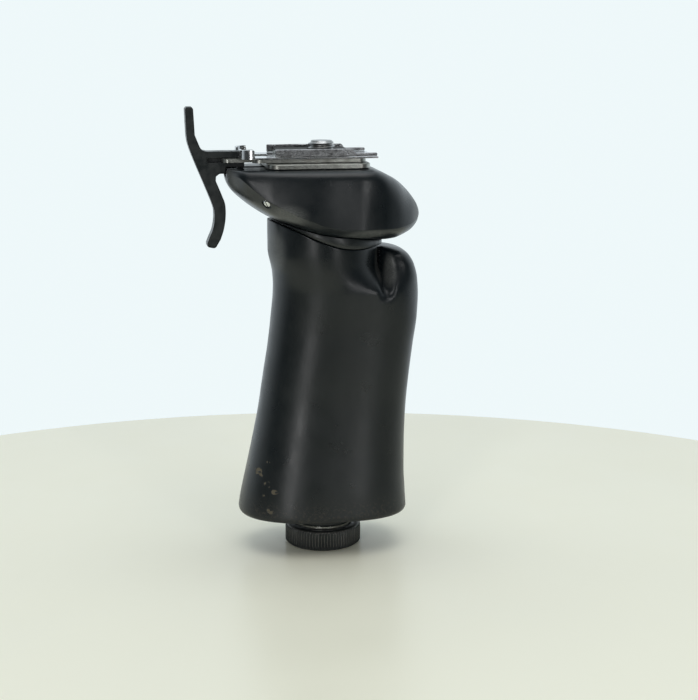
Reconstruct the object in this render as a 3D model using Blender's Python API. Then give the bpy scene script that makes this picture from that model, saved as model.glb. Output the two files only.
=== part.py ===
"""Pistol grip for a camera: moulded handle and head, plate stack, sliding trigger, and a knob that turns
the camera screw. Lengths are in millimetres up to the moment a mesh is made, which is in metres. The origin
is the centre of the knob's flat bottom, +Z is up, -X is forward (the trigger's side) and -Y is near."""

import math

import bmesh
import bpy
import numpy as np

MM = 0.001
GAP = 0.3
THIN_GAP = 0.2

# Handle: front edge, rear edge and half-width against height
HANDLE_FRONT = (
    (13.2, -31.9), (17.5, -31.3), (29.3, -28.8), (41.2, -26.2), (52.8, -23.9), (64.4, -22.1),
    (75.9, -20.2), (85.5, -19.0), (98.6, -17.9), (103.0, -18.2), (112.0, -19.8), (126.0, -19.6),
)
HANDLE_REAR = (
    (13.2, 30.9), (21.5, 30.4), (29.3, 30.0), (41.2, 30.1), (52.8, 30.6), (64.4, 31.7), (75.9, 33.1),
    (87.0, 34.6), (95.0, 34.9), (100.5, 34.5), (106.0, 33.1), (109.0, 31.4), (110.6, 29.6), (111.5, 27.0),
    (112.2, 23.0), (112.5, 19.0), (126.0, 19.0),
)
HANDLE_HALF_WIDTH = (
    (13.2, 21.6), (22.0, 21.0), (40.0, 19.2), (60.0, 18.1), (80.0, 18.2), (98.0, 19.3), (112.0, 20.1),
    (126.0, 20.1),
)
HANDLE_BOTTOM = 13.2
HANDLE_BOTTOM_ROUND = 2.2
HANDLE_WALL = 3.2
HANDLE_SQUARENESS = 2.25
HANDLE_REAR_SQUARENESS = 2.9
NECK_REAR = 20.3
NECK_TOP = 126.0
NECK_JOINS_BACK = (84.0, 104.0)
HORN_PARTS = (97.0, 107.0)
HORN_FRONT = 20.0
HORN_FULL_REAR = 34.9
HORN_HALF_WIDTH = 16.0
HORN_SQUARENESS = 2.1
CREASE_SOFTNESS = 2.0
GROOVE_X = 20.4
GROOVE_WIDTHS = (1.3, 1.6)
GROOVE_DEPTH = 4.5
GROOVE_DEEPENS = (91.5, 98.0)
CAVITY_TOP = 103.0
CAVITY_LEDGE = 6.6
CAVITY_LEDGE_TOP = 22.0
CAP_RECESS = 3.4

# Head: top and bottom profile along X, and half-width
HEAD_TOP = (
    (-34.8, 139.9), (-34.5, 140.8), (-33.5, 141.2), (15.5, 141.2), (19.0, 140.2), (22.1, 138.7),
    (25.5, 136.9),
    (28.1, 135.0), (30.5, 132.7), (32.3, 130.5), (33.9, 128.2), (34.8, 126.3), (35.4, 124.4),
)
HEAD_BOTTOM = (
    (-34.8, 137.2), (-34.5, 136.1), (-33.8, 134.7), (-32.7, 133.1), (-30.9, 131.3), (-26.4, 127.7),
    (-20.0, 123.8),
    (-13.4, 121.0), (-8.4, 118.9), (-5.0, 117.7), (-1.9, 116.9), (2.4, 116.3), (8.0, 115.8), (15.0, 115.2),
    (20.5, 115.0), (24.5, 115.3), (27.3, 116.2), (31.0, 117.9), (33.5, 119.9), (34.7, 121.7), (35.4, 123.6),
)
HEAD_EDGE = (
    (-34.8, 139.0), (-33.0, 139.3), (-31.6, 139.0), (-30.1, 137.9), (-26.3, 134.6), (-21.5, 130.9),
    (-16.5, 128.2),
    (-11.1, 125.6), (-7.0, 124.0), (-2.8, 122.3), (0.7, 121.5), (4.2, 120.8), (15.0, 120.7), (22.0, 120.6),
    (30.0, 121.5), (35.4, 124.0),
)
HEAD_HALF_WIDTH = (
    (-34.8, 6.0), (-34.2, 9.6), (-33.0, 13.2), (-31.4, 16.0), (-29.0, 18.3), (-25.0, 20.3), (-20.0, 22.1),
    (-10.0, 24.2),
    (0.0, 25.0), (10.0, 24.8), (18.0, 23.0), (24.0, 20.0), (29.0, 15.8), (33.0, 10.0), (34.8, 5.2),
    (35.4, 2.0),
)
HEAD_FACE = 141.2
HEAD_TOP_SQUARENESS = (16.0, 2.6)
HEAD_ROUNDS_OFF = (6.0, 30.0)
HEAD_SIDE_TAPER = (0.12, 0.0)
FLANK_TILT = (1.1, 0.5)
FLANK_REACH = (0.8, 0.7)
FLANK_SOFTENS = (0.0, 24.0)

# Joint ring between handle and head
RING_CENTRE_X = 1.7
RING_RADIUS = 20.1
RING_INNER = 12.0
RING_THINNEST = 0.5
RING_GAP = 0.25
NECK_CUT_RADIUS = 21.7
NECK_RIM = (
    (-22.0, 123.6), (-19.8, 122.9), (-16.0, 121.4), (-12.9, 120.2), (-8.2, 118.2), (-5.4, 116.9),
    (-1.2, 115.3),
    (3.3, 113.9), (7.9, 113.1), (11.4, 112.9), (14.3, 113.0), (20.3, 113.1), (22.0, 113.2),
)

# Bolt, core tube and what holds them
TUBE_INNER = 5.1
TUBE_OUTER = 6.2
TUBE_BOTTOM = 18.3
TUBE_TOP = 139.0
NUT_BOTTOM = 134.6
NUT_TOP = 138.6
NUT_RADIUS = 7.4
TUBE_WASHER_THICK = 0.8
POCKET_RADIUS = 8.1
FERRULE_RADIUS = 11.3
FERRULE_BOTTOM = 8.6
FERRULE_FLANGE_TOP = 13.7
FERRULE_STUB_RADIUS = 8.6
FERRULE_TOP = 24.0
FERRULE_BORE = 4.88
FERRULE_CHAMBER = 6.5
FERRULE_FLOOR_TOP = 11.5
BASE_CAP_BOTTOM = 14.0
BASE_CAP_TOP = 16.4
BOLT_BOTTOM = 2.2
BOLT_SHANK = 3.9
BOLT_LAND = 4.8
BOLT_LAND_TOP = 17.0
BOLT_TOP_LAND = 132.0
CLIP_BOTTOM = 14.9
CLIP_THICK = 0.8
CLIP_INNER = 3.7
CLIP_OUTER = 6.1
SCREW_MAJOR_RADIUS = 9.525 / 2
SCREW_PITCH = 25.4 / 16
SCREW_DEPTH = 0.9
SCREW_START = 142.0
SCREW_TOP = 150.4

# Knob and thrust washer
KNOB_RADIUS = 14.15
KNOB_HEIGHT = 7.6
KNOB_TEETH = 78
KNURL_DEPTH = 0.5
KNOB_CHAMFER = 0.7
KNOB_SOCKET = 4.1
KNOB_SOCKET_FLOOR = 2.0
GRUB_RADIUS = 1.5
GRUB_HEIGHT = 4.4
GRUB_INNER = 4.2
GRUB_OUTER = 12.4
WASHER_INNER = 5.2
WASHER_OUTER = 10.6
WASHER_THICK = 0.7

# Plate stack
BASE_PLATE = {"x": (-21.0, 15.4), "half_width": 16.0, "z": (141.4, 143.2), "round": 4.0}
GUIDE_PLATE = {"x": (-26.0, 14.6), "half_width": 11.0, "z": (143.4, 144.6), "round": 3.0}
TONGUE_FRONT = -36.1
TONGUE_HALF_WIDTH = 7.0
TONGUE_ROUND = 2.0
TONGUE_SLOT_REAR = -30.4
TONGUE_SLOT_HALF_WIDTH = 1.7
TRAY_X = (-30.4, 18.3)
TRAY_HALF_WIDTH = 12.9
TRAY_FLOOR = (144.8, 145.4)
TRAY_WALL = 0.8
TRAY_LIP_TOP = 148.0
TRAY_CORNER = 5.0
TRAY_NOTCH_HALF_WIDTH = 4.5
TRAY_NOTCH_REAR = -19.4
RAIL_X = (-18.4, 9.4, 18.0)
RAIL_Y = (11.5, 12.8)
RAIL_Z = (145.5, 146.7, 148.2)
CAMERA_PLATE = {"x": (-16.5, 9.3), "half_width": 11.1, "z": (145.6, 146.6), "round": 1.5}
CAMERA_PAD = {"x": (-16.3, 9.0), "half_width": 10.9, "z": (146.7, 147.2), "round": 1.0}
PLATE_BORE = 5.4
STACK_SCREW_PLACES = ((-13.0, -8.0), (-13.0, 8.0), (6.0, -8.0), (6.0, 8.0))
STACK_SCREW_HEAD = 2.1
STACK_SCREW_SHANK = 1.2
STACK_SCREW_TIP = 131.0
STACK_SCREW_SLOT = (0.7, 0.5)

# Cheek screws
CHEEK_X = -22.5
CHEEK_Z = 129.9
CHEEK_RADIUS = 1.5
CHEEK_LENGTH = 8.0
CHEEK_SLOT = (0.7, 0.6)

# Trigger
TRIGGER_HALF_WIDTH = 3.0
TRIGGER_FRONT = (
    (-48.8, 162.0), (-48.6, 156.0), (-48.3, 151.3), (-47.4, 147.8), (-45.4, 142.5), (-42.5, 135.4),
    (-39.7, 128.2),
    (-39.1, 125.4), (-39.2, 122.3), (-39.8, 119.3), (-40.9, 116.7), (-41.9, 114.3),
)
TRIGGER_TIP = ((-41.8, 113.4), (-41.1, 113.0), (-39.4, 112.7), (-38.6, 113.1))
TRIGGER_REAR = (
    (-37.0, 115.8), (-35.8, 119.4), (-35.1, 123.8), (-35.2, 128.2), (-36.3, 131.5), (-38.4, 136.7),
)
FORK_ROOT = ((-38.3, 138.2), (-37.2, 139.1))
FORK_DEEP_BOTTOM = 139.2
FORK_DEEP_REAR = -34.9
FORK_LOWER_REAR = -28.2
FORK_UPPER_REAR = -24.5
FORK_SLOT_FRONT = -41.5
FORK_SLOT = (143.15, 144.85)
FORK_LOWER_BOTTOM = 141.6
FORK_UPPER_TOP = 147.1
FORK_SHOULDER = ((-41.4, 147.1), (-42.7, 147.5), (-43.7, 148.5), (-45.5, 152.9))
TRIGGER_TOP = ((-45.9, 162.0), (-46.4, 162.7), (-48.2, 162.7))
WEB_X = (FORK_SLOT_FRONT - 1.0, -34.0)
WEB_HALF_WIDTH = 1.3
NOTCH_X = (-37.0, -31.2)
NOTCH_HALF_WIDTH = 3.4
NOTCH_FLOOR = 138.3
LUG_X = (-30.4, -28.4)
LUG_BOTTOM = 138.0
LUG_HALF_WIDTH = 1.5
SPRING_POCKET_X = (-31.6, -11.8)
SPRING_POCKET_HALF_WIDTH = 2.3
SPRING_POCKET_FLOOR = 137.2
SPRING_X = (-28.1, -12.3)
SPRING_AXIS_Z = 139.3
SPRING_RADIUS = 1.4
SPRING_WIRE = 0.25
SPRING_TURNS = 9

HANDLE_AROUND = 84
HEAD_SECTIONS = 26
HEAD_QUARTER = 7
ROUND_SEGMENTS = 32
ROUND_PHASE = 0.37

MATERIALS = {
    "moulding": ((0.018, 0.021, 0.023), 0.0, 0.42),
    "black_metal": ((0.015, 0.015, 0.016), 0.6, 0.4),
    "steel": ((0.45, 0.45, 0.44), 1.0, 0.35),
    "chrome": ((0.75, 0.76, 0.77), 1.0, 0.15),
    "pad": ((0.02, 0.02, 0.02), 0.0, 0.8),
    "brass": ((0.6, 0.45, 0.2), 1.0, 0.35),
}


def clear_scene():
    for obj in list(bpy.data.objects):
        bpy.data.objects.remove(obj)


def own_material(name, kind):
    """A Principled material of the object's own, in one of the few finishes."""
    colour, metallic, roughness = MATERIALS[kind]
    material = bpy.data.materials.new(name)
    material.use_nodes = True
    shader = material.node_tree.nodes["Principled BSDF"]
    shader.inputs["Base Color"].default_value = (*colour, 1.0)
    shader.inputs["Metallic"].default_value = metallic
    shader.inputs["Roughness"].default_value = roughness
    return material


def mesh_object(name, points, faces, kind, smooth=False):
    """An object from points in millimetres, with all its faces turned outwards."""
    mesh = bpy.data.meshes.new(name)
    mesh.from_pydata([tuple(c * MM for c in point) for point in points], [], faces)
    work = bmesh.new()
    work.from_mesh(mesh)
    bmesh.ops.recalc_face_normals(work, faces=work.faces)
    work.to_mesh(mesh)
    work.free()
    mesh.polygons.foreach_set("use_smooth", [smooth] * len(mesh.polygons))
    obj = bpy.data.objects.new(name, mesh)
    bpy.context.scene.collection.objects.link(obj)
    if kind:
        mesh.materials.append(own_material(name, kind))
    return obj


def cutter(obj):
    obj.hide_render = True
    obj.display_type = "WIRE"
    return obj


def combine(obj, other, operation="DIFFERENCE"):
    modifier = obj.modifiers.new(other.name, "BOOLEAN")
    modifier.operation = operation
    modifier.solver = "EXACT"
    modifier.object = cutter(other)
    return obj


def curve_at(table, value):
    """Smooth cubic through a table of (position, value), its slopes limited so that it never overshoots."""
    xs, ys = (np.array(column, float) for column in zip(*table))
    value = min(max(value, xs[0]), xs[-1])
    steps = np.diff(ys) / np.diff(xs)
    slopes = np.zeros(len(xs))
    slopes[0], slopes[-1] = steps[0], steps[-1]
    for i in range(1, len(xs) - 1):
        if steps[i - 1] * steps[i] > 0:
            slopes[i] = 2 / (1 / steps[i - 1] + 1 / steps[i])
    i = min(int(np.searchsorted(xs, value, side="right")) - 1, len(xs) - 2)
    width = xs[i + 1] - xs[i]
    t = (value - xs[i]) / width
    ends = (2 * t**3 - 3 * t**2 + 1) * ys[i] + (3 * t**2 - 2 * t**3) * ys[i + 1]
    return float(ends + width * ((t**3 - 2 * t**2 + t) * slopes[i] + (t**3 - t**2) * slopes[i + 1]))


def smooth_step(low, high, value):
    t = min(max((value - low) / (high - low), 0.0), 1.0)
    return t * t * (3 - 2 * t)


def loft(rings):
    """Points and faces of a solid through rings of equal length, closed by a flat face at each end."""
    count = len(rings[0])
    points = [point for ring in rings for point in ring]
    faces = []
    for row in range(len(rings) - 1):
        for i in range(count):
            j = (i + 1) % count
            low, high = row * count, (row + 1) * count
            faces.append((low + i, low + j, high + j, high + i))
    faces.append(tuple(range(count - 1, -1, -1)))
    faces.append(tuple(range(len(points) - count, len(points))))
    return points, faces


def extruded(name, outline, low, high, kind, axis="z"):
    """A prism from an outline: (x, y) pairs raised along z, or (x, z) pairs spread along y."""
    if axis == "z":
        rings = [[(x, y, height) for x, y in outline] for height in (low, high)]
    else:
        rings = [[(x, depth, z) for x, z in outline] for depth in (low, high)]
    return mesh_object(name, *loft(rings), kind)


def turned(name, profile, kind, centre=(0.0, 0.0), segments=ROUND_SEGMENTS, smooth=True):
    """A solid of revolution about a vertical axis from a closed loop of (radius, z) around a bore."""
    rings = []
    for i in range(segments):
        angle = 2 * math.pi * i / segments
        rings.append(
            [(centre[0] + r * math.cos(angle), centre[1] + r * math.sin(angle), z) for r, z in profile]
        )
    count = len(profile)
    points = [point for ring in rings for point in ring]
    faces = []
    for row in range(segments):
        here, there = row * count, ((row + 1) % segments) * count
        for i in range(count):
            j = (i + 1) % count
            faces.append((here + i, here + j, there + j, there + i))
    obj = mesh_object(name, points, faces, kind, smooth)
    if smooth:
        sharpen(obj)
    return obj


def sharpen(obj, degrees=35.0):
    """Keeps edges crisp where two faces meet at more than this angle."""
    work = bmesh.new()
    work.from_mesh(obj.data)
    for edge in work.edges:
        if len(edge.link_faces) == 2 and edge.calc_face_angle(0.0) > math.radians(degrees):
            edge.smooth = False
    work.to_mesh(obj.data)
    work.free()


def rod(name, x, y, radius, low, high, kind=None, segments=ROUND_SEGMENTS):
    """A plain vertical cylinder."""
    angles = [2 * math.pi * (i + ROUND_PHASE) / segments for i in range(segments)]
    circle = [(x + radius * math.cos(a), y + radius * math.sin(a)) for a in angles]
    return extruded(name, circle, low, high, kind)


def block(name, x, y, z, kind=None):
    outline = [(x[0], y[0]), (x[1], y[0]), (x[1], y[1]), (x[0], y[1])]
    return extruded(name, outline, z[0], z[1], kind)


def bevelled(obj, width, segments=1, degrees=40.0):
    modifier = obj.modifiers.new("edge", "BEVEL")
    modifier.width = width * MM
    modifier.segments = segments
    modifier.limit_method = "ANGLE"
    modifier.angle_limit = math.radians(degrees)
    return obj


def rounded_outline(x, half_width, radius, steps=4):
    """A rectangle from x[0] to x[1] and across +-half_width, with rounded corners."""
    centres = (
        (x[1] - radius, half_width - radius, 0.0),
        (x[0] + radius, half_width - radius, 90.0),
        (x[0] + radius, radius - half_width, 180.0),
        (x[1] - radius, radius - half_width, 270.0),
    )
    outline = []
    for cx, cy, start in centres:
        for i in range(steps + 1):
            angle = math.radians(start + 90.0 * i / steps)
            outline.append((cx + radius * math.cos(angle), cy + radius * math.sin(angle)))
    return outline


# ---- handle


def oval(x, front, rear, half_width, squareness):
    """Half-width at x of an oval section from front to rear."""
    u = min(abs((2 * x - front - rear) / (rear - front)), 1.0)
    return half_width * (1 - u**squareness) ** (1 / squareness)


def lobed_half_width_at(x, z):
    """Half-width of the outside at x: one oval low down, then a round neck with the thumb horn behind."""
    front, rear = curve_at(HANDLE_FRONT, z), curve_at(HANDLE_REAR, z)
    half_width, last = curve_at(HANDLE_HALF_WIDTH, z), max(rear, NECK_REAR)
    behind = x > (front + last) / 2
    y = oval(x, front, last, half_width, HANDLE_REAR_SQUARENESS if behind else HANDLE_SQUARENESS)
    parted = smooth_step(*HORN_PARTS, z)
    neck = oval(x, front, NECK_REAR, half_width, 2.0)
    share = min(max((rear - HORN_FRONT) / (HORN_FULL_REAR - HORN_FRONT), 0.0), 1.0)
    horn = oval(x, HORN_FRONT, rear, HORN_HALF_WIDTH * share**0.6, HORN_SQUARENESS) if share else 0.0
    near = max(0.0, 1 - abs(neck - horn) / CREASE_SOFTNESS)
    fade = min(1.0, min(neck, horn) / CREASE_SOFTNESS)
    lobes = max(neck, horn) + 0.25 * CREASE_SOFTNESS * near * near * fade
    reach = GROOVE_WIDTHS[0] if x < GROOVE_X else GROOVE_WIDTHS[1]
    depth = GROOVE_DEPTH * smooth_step(*GROOVE_DEEPENS, z) * math.exp(-(((x - GROOVE_X) / reach) ** 2))
    return (y - min(depth, 0.5 * y)) * (1 - parted) + lobes * parted


def inner_half_width_at(x, z, inset):
    """Half-width of the inside at x, which keeps to the grip's oval and leaves the thumb horn solid."""
    front = curve_at(HANDLE_FRONT, z) + inset
    rear = curve_at(HANDLE_REAR, z)
    joined = smooth_step(*NECK_JOINS_BACK, z)
    oval_rear = rear + (NECK_REAR - rear) * joined - inset
    squareness = HANDLE_SQUARENESS + (2.0 - HANDLE_SQUARENESS) * joined
    return oval(x, front, oval_rear, curve_at(HANDLE_HALF_WIDTH, z) - inset, squareness)


def handle_ring(z, inset, around, outside=True, squeeze=0.0):
    """The handle's section at height z. squeeze draws it in further, for a rounded bottom edge."""
    front = curve_at(HANDLE_FRONT, z) + inset
    rear = curve_at(HANDLE_REAR, z)
    joined = smooth_step(*NECK_JOINS_BACK, z)
    last = (max(rear, NECK_REAR) if outside else rear + (NECK_REAR - rear) * joined) - inset
    centre, reach = (front + last) / 2, (last - front) / 2
    ring = []
    for i in range(around):
        angle = 2 * math.pi * i / around
        x = centre + reach * math.cos(angle)
        y = lobed_half_width_at(x, z) if outside else inner_half_width_at(x, z, inset)
        y = math.copysign(y, math.sin(angle)) if 0 < i < around and i * 2 != around else 0.0
        shrink = 1 - squeeze / reach
        ring.append((centre + (x - centre) * shrink, y * shrink, z))
    return ring


def handle_rings(around):
    rings = []
    radius = HANDLE_BOTTOM_ROUND
    for degrees in (0.0, 35.0, 65.0, 90.0):
        angle = math.radians(degrees)
        height = HANDLE_BOTTOM + radius * (1 - math.cos(angle))
        rings.append(handle_ring(height, 0.0, around, True, radius * (1 - math.sin(angle))))
    levels = (
        22, 32, 44, 56, 67, 77, 84, 87, 90, 92.5, 95, 97.5, 100, 102.5, 105, 107.5, 109.5, 111, 112, 112.6,
        NECK_TOP,
    )
    rings += [handle_ring(float(z), 0.0, around) for z in levels]
    return rings


def make_handle():
    handle = mesh_object("handle", *loft(handle_rings(HANDLE_AROUND)), "moulding", smooth=True)
    cavity_levels = (
        (HANDLE_BOTTOM - 2.0, CAVITY_LEDGE), (CAVITY_LEDGE_TOP, CAVITY_LEDGE),
        (CAVITY_LEDGE_TOP + 4.0, HANDLE_WALL), (45.0, HANDLE_WALL), (65.0, HANDLE_WALL), (84.0, HANDLE_WALL),
        (94.0, HANDLE_WALL), (CAVITY_TOP - 2.0, HANDLE_WALL), (CAVITY_TOP, HANDLE_WALL + 2.0),
    )
    rings = []
    for z, inset in cavity_levels:
        ring = handle_ring(max(z, HANDLE_BOTTOM), inset, HANDLE_AROUND // 2, outside=False)
        rings.append([(x, y, z) for x, y, _ in ring])
    combine(handle, mesh_object("cut_cavity", *loft(rings), None))
    recess = [
        [(x, y, z) for x, y, _ in handle_ring(HANDLE_BOTTOM, CAP_RECESS, HANDLE_AROUND // 2, False)]
        for z in (HANDLE_BOTTOM - 2.0, BASE_CAP_TOP + GAP)
    ]
    combine(handle, mesh_object("cut_recess", *loft(recess), None))
    combine(handle, saddle_solid("cut_neck", NECK_CUT_RADIUS, neck_surface))
    combine(handle, rod("cut_neck_bore", 0.0, 0.0, TUBE_OUTER + GAP, CAVITY_TOP - 8.0, NECK_TOP))
    return handle


def make_base_cap():
    outline = [(x, y) for x, y, _ in handle_ring(HANDLE_BOTTOM, CAP_RECESS + GAP, HANDLE_AROUND // 2, False)]
    cap = extruded("base_cap", outline, BASE_CAP_BOTTOM, BASE_CAP_TOP, "moulding")
    return combine(
        cap, rod("cut_cap_bore", 0.0, 0.0, FERRULE_STUB_RADIUS + GAP, HANDLE_BOTTOM, BASE_CAP_TOP + 1)
    )


# ---- head


def head_section(x):
    """(top, bottom, half-width, height of the widest line) of the head at x."""
    top, bottom = curve_at(HEAD_TOP, x), curve_at(HEAD_BOTTOM, x)
    edge = min(max(curve_at(HEAD_EDGE, x), bottom + 0.3), top - 0.3)
    return top, bottom, curve_at(HEAD_HALF_WIDTH, x), edge


def blend(pair, limits, x):
    return pair[0] + (pair[1] - pair[0]) * smooth_step(*limits, x)


def flank(x, steps):
    """The head's lower side at x, from the widest line to the keel: (y, z) points of one cubic curve."""
    _, bottom, half_width, edge = head_section(x)
    lean = blend(FLANK_TILT, FLANK_SOFTENS, x) * (edge - bottom) / 2
    knots = (
        (half_width, edge), (half_width - min(lean, half_width / 3), (edge + bottom) / 2),
        (half_width * blend(FLANK_REACH, FLANK_SOFTENS, x), bottom), (0.0, bottom),
    )
    points = []
    for i in range(steps + 1):
        t = i / steps
        weights = ((1 - t) ** 3, 3 * t * (1 - t) ** 2, 3 * t * t * (1 - t), t**3)
        points.append(tuple(sum(w * k[axis] for w, k in zip(weights, knots)) for axis in (0, 1)))
    return points


def upper_side(x, steps):
    """The head's side above the widest line: (y, z) points up to its top, its corner rounder at the rear."""
    top, _, half_width, edge = head_section(x)
    power = blend(HEAD_TOP_SQUARENESS, HEAD_ROUNDS_OFF, x)
    taper = blend(HEAD_SIDE_TAPER, HEAD_ROUNDS_OFF, x)
    corner = 0.5 ** (1 / power)
    shares = []
    for i in range(1, steps + 1):
        along = corner * smooth_step(0, steps, i)
        shares.append(((1 - along**power) ** (1 / power), along))
    for i in range(1, steps + 1):
        across = corner * (1 - (i / steps) ** 2)
        shares.append((across, (1 - across**power) ** (1 / power)))
    return [(half_width * a * (1 - taper * b * b), edge + (top - edge) * b) for a, b in shares]


def head_underside(x, y):
    points = flank(x, 24)[::-1]
    return float(np.interp(abs(y), [p[0] for p in points], [p[1] for p in points]))


def neck_surface(x, y):
    """The neck's end: its rim's height depends on x alone, lowered where the joint ring needs the room."""
    return min(curve_at(NECK_RIM, x), head_underside(x, y) - 2 * RING_GAP - RING_THINNEST)


def head_ring(x, quarter):
    near = flank(x, quarter)[::-1] + upper_side(x, quarter // 2 + 1)
    far = [(-y, z) for y, z in reversed(near[1:-1])]
    return [(x, y, z) for y, z in near + far]


def head_stations(count):
    front, rear = HEAD_TOP[0][0], HEAD_TOP[-1][0]
    middle, reach = (front + rear) / 2, (rear - front) / 2
    return [middle - reach * math.cos(math.pi * i / (count - 1)) for i in range(count)]


def saddle_solid(name, radius, surface):
    """A cutter of everything within this radius that is higher than the surface."""
    rings = [radius * share for share in (0.25, 0.5, 0.75, 0.92, 1.0)]
    segments = 40
    points = [(RING_CENTRE_X, 0.0, surface(RING_CENTRE_X, 0.0))]
    for ring in rings:
        for i in range(segments):
            angle = 2 * math.pi * i / segments
            x, y = RING_CENTRE_X + ring * math.cos(angle), ring * math.sin(angle)
            points.append((x, y, surface(x, y)))
    faces = [(0, 1 + i, 1 + (i + 1) % segments) for i in range(segments)]
    for row in range(len(rings) - 1):
        low, high = 1 + row * segments, 1 + (row + 1) * segments
        for i in range(segments):
            j = (i + 1) % segments
            faces.append((low + i, high + i, high + j, low + j))
    outer, top = 1 + (len(rings) - 1) * segments, len(points)
    points += [(x, y, NECK_TOP + 4.0) for x, y, _ in points[outer:]]
    for i in range(segments):
        j = (i + 1) % segments
        faces.append((outer + i, top + i, top + j, outer + j))
    faces.append(tuple(range(top, top + segments)))
    return mesh_object(name, points, faces, None)


def cheek_frame(side):
    """Place and outward direction of a cheek screw on the head's side, which is -1 near and +1 far."""
    def half_width_at(x, z):
        points = flank(x, 24)[::-1]
        return float(np.interp(z, [p[1] for p in points], [p[0] for p in points]))

    step = 0.5
    y = half_width_at(CHEEK_X, CHEEK_Z)
    along = (half_width_at(CHEEK_X + step, CHEEK_Z) - half_width_at(CHEEK_X - step, CHEEK_Z)) / (2 * step)
    up = (half_width_at(CHEEK_X, CHEEK_Z + step) - half_width_at(CHEEK_X, CHEEK_Z - step)) / (2 * step)
    normal = np.array((-along, side, -up), float)
    return np.array((CHEEK_X, side * y, CHEEK_Z)), normal / np.linalg.norm(normal)


def along_direction(name, start, direction, radius, length, kind, segments=ROUND_SEGMENTS // 2):
    """A cylinder from start, length long, along a slanted direction."""
    direction = np.array(direction, float)
    side = np.cross(direction, (0.0, 0.0, 1.0))
    side /= np.linalg.norm(side)
    up = np.cross(side, direction)
    rings = []
    for distance in (0.0, length):
        ring = []
        for i in range(segments):
            angle = 2 * math.pi * i / segments
            ring.append(
                tuple(
                    start + direction * distance + radius * (side * math.cos(angle) + up * math.sin(angle))
                )
            )
        rings.append(ring)
    return mesh_object(name, *loft(rings), kind)


def make_head():
    rings = [head_ring(x, HEAD_QUARTER) for x in head_stations(HEAD_SECTIONS)]
    head = mesh_object("head", *loft(rings), "moulding", smooth=True)
    combine(head, rod("cut_head_bore", 0.0, 0.0, TUBE_OUTER + GAP, 110.0, HEAD_FACE + 2))
    combine(
        head,
        rod("cut_nut_pocket", 0.0, 0.0, POCKET_RADIUS, NUT_BOTTOM - TUBE_WASHER_THICK - 0.4, HEAD_FACE + 2),
    )
    pocket_y = (-SPRING_POCKET_HALF_WIDTH, SPRING_POCKET_HALF_WIDTH)
    combine(head, block("cut_spring", SPRING_POCKET_X, pocket_y, (SPRING_POCKET_FLOOR, HEAD_FACE + 2)))
    notch_y = (-NOTCH_HALF_WIDTH, NOTCH_HALF_WIDTH)
    combine(head, block("cut_notch", NOTCH_X, notch_y, (NOTCH_FLOOR, HEAD_FACE + 3)))
    for number, (x, y) in enumerate(STACK_SCREW_PLACES, 1):
        hole = rod(
            f"cut_head_screw_{number}", x, y, STACK_SCREW_SHANK + GAP, STACK_SCREW_TIP - 1, HEAD_FACE + 2,
            None, 12,
        )
        combine(head, hole)
    for name, side in (("near", -1), ("far", 1)):
        place, normal = cheek_frame(side)
        start = place - normal * (CHEEK_LENGTH + 0.8)
        hole = along_direction(
            f"cut_cheek_{name}", start, normal, CHEEK_RADIUS + GAP, CHEEK_LENGTH + 6, None
        )
        combine(head, hole)
    return head


def make_cheek_screws():
    for name, side in (("near", -1), ("far", 1)):
        place, normal = cheek_frame(side)
        start = place - normal * CHEEK_LENGTH
        screw = along_direction(
            f"cheek_screw_{name}", start, normal, CHEEK_RADIUS, CHEEK_LENGTH - 0.1, "chrome", 20
        )
        width, depth = CHEEK_SLOT
        across = np.cross(normal, (0.0, 0.0, 1.0))
        across /= np.linalg.norm(across)
        up = np.cross(across, normal)
        points = []
        for out in (-depth - 0.1, 1.0):
            for a, b in ((-4, -1), (4, -1), (4, 1), (-4, 1)):
                points.append(tuple(place + normal * out + up * a + across * b * width / 2))
        faces = [(0, 1, 2, 3), (7, 6, 5, 4), (0, 4, 5, 1), (1, 5, 6, 2), (2, 6, 7, 3), (3, 7, 4, 0)]
        combine(screw, mesh_object(f"cut_cheek_slot_{name}", points, faces, None))


def make_joint_ring():
    """A wedge-shaped ring that fills the joint between the neck's end and the head's underside."""
    segments, loops = 36, []
    radii = (RING_INNER, (RING_INNER + RING_RADIUS) / 2, RING_RADIUS - 0.3, RING_RADIUS)
    for i in range(segments):
        angle = 2 * math.pi * i / segments
        upper, lower = [], []
        for radius in radii:
            x, y = RING_CENTRE_X + radius * math.cos(angle), radius * math.sin(angle)
            edge = 0.1 if radius == RING_RADIUS else 0.0
            upper.append((x, y, head_underside(x, y) - RING_GAP - edge))
            lower.append((x, y, neck_surface(x, y) + RING_GAP + edge))
        loops.append(upper + lower[::-1])
    count = len(loops[0])
    points = [point for ring in loops for point in ring]
    faces = []
    for row in range(segments):
        here, there = row * count, ((row + 1) % segments) * count
        for i in range(count):
            j = (i + 1) % count
            faces.append((here + i, here + j, there + j, there + i))
    return mesh_object("joint_ring", points, faces, "black_metal")


# ---- tube, ferrule, bolt and knob


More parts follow.
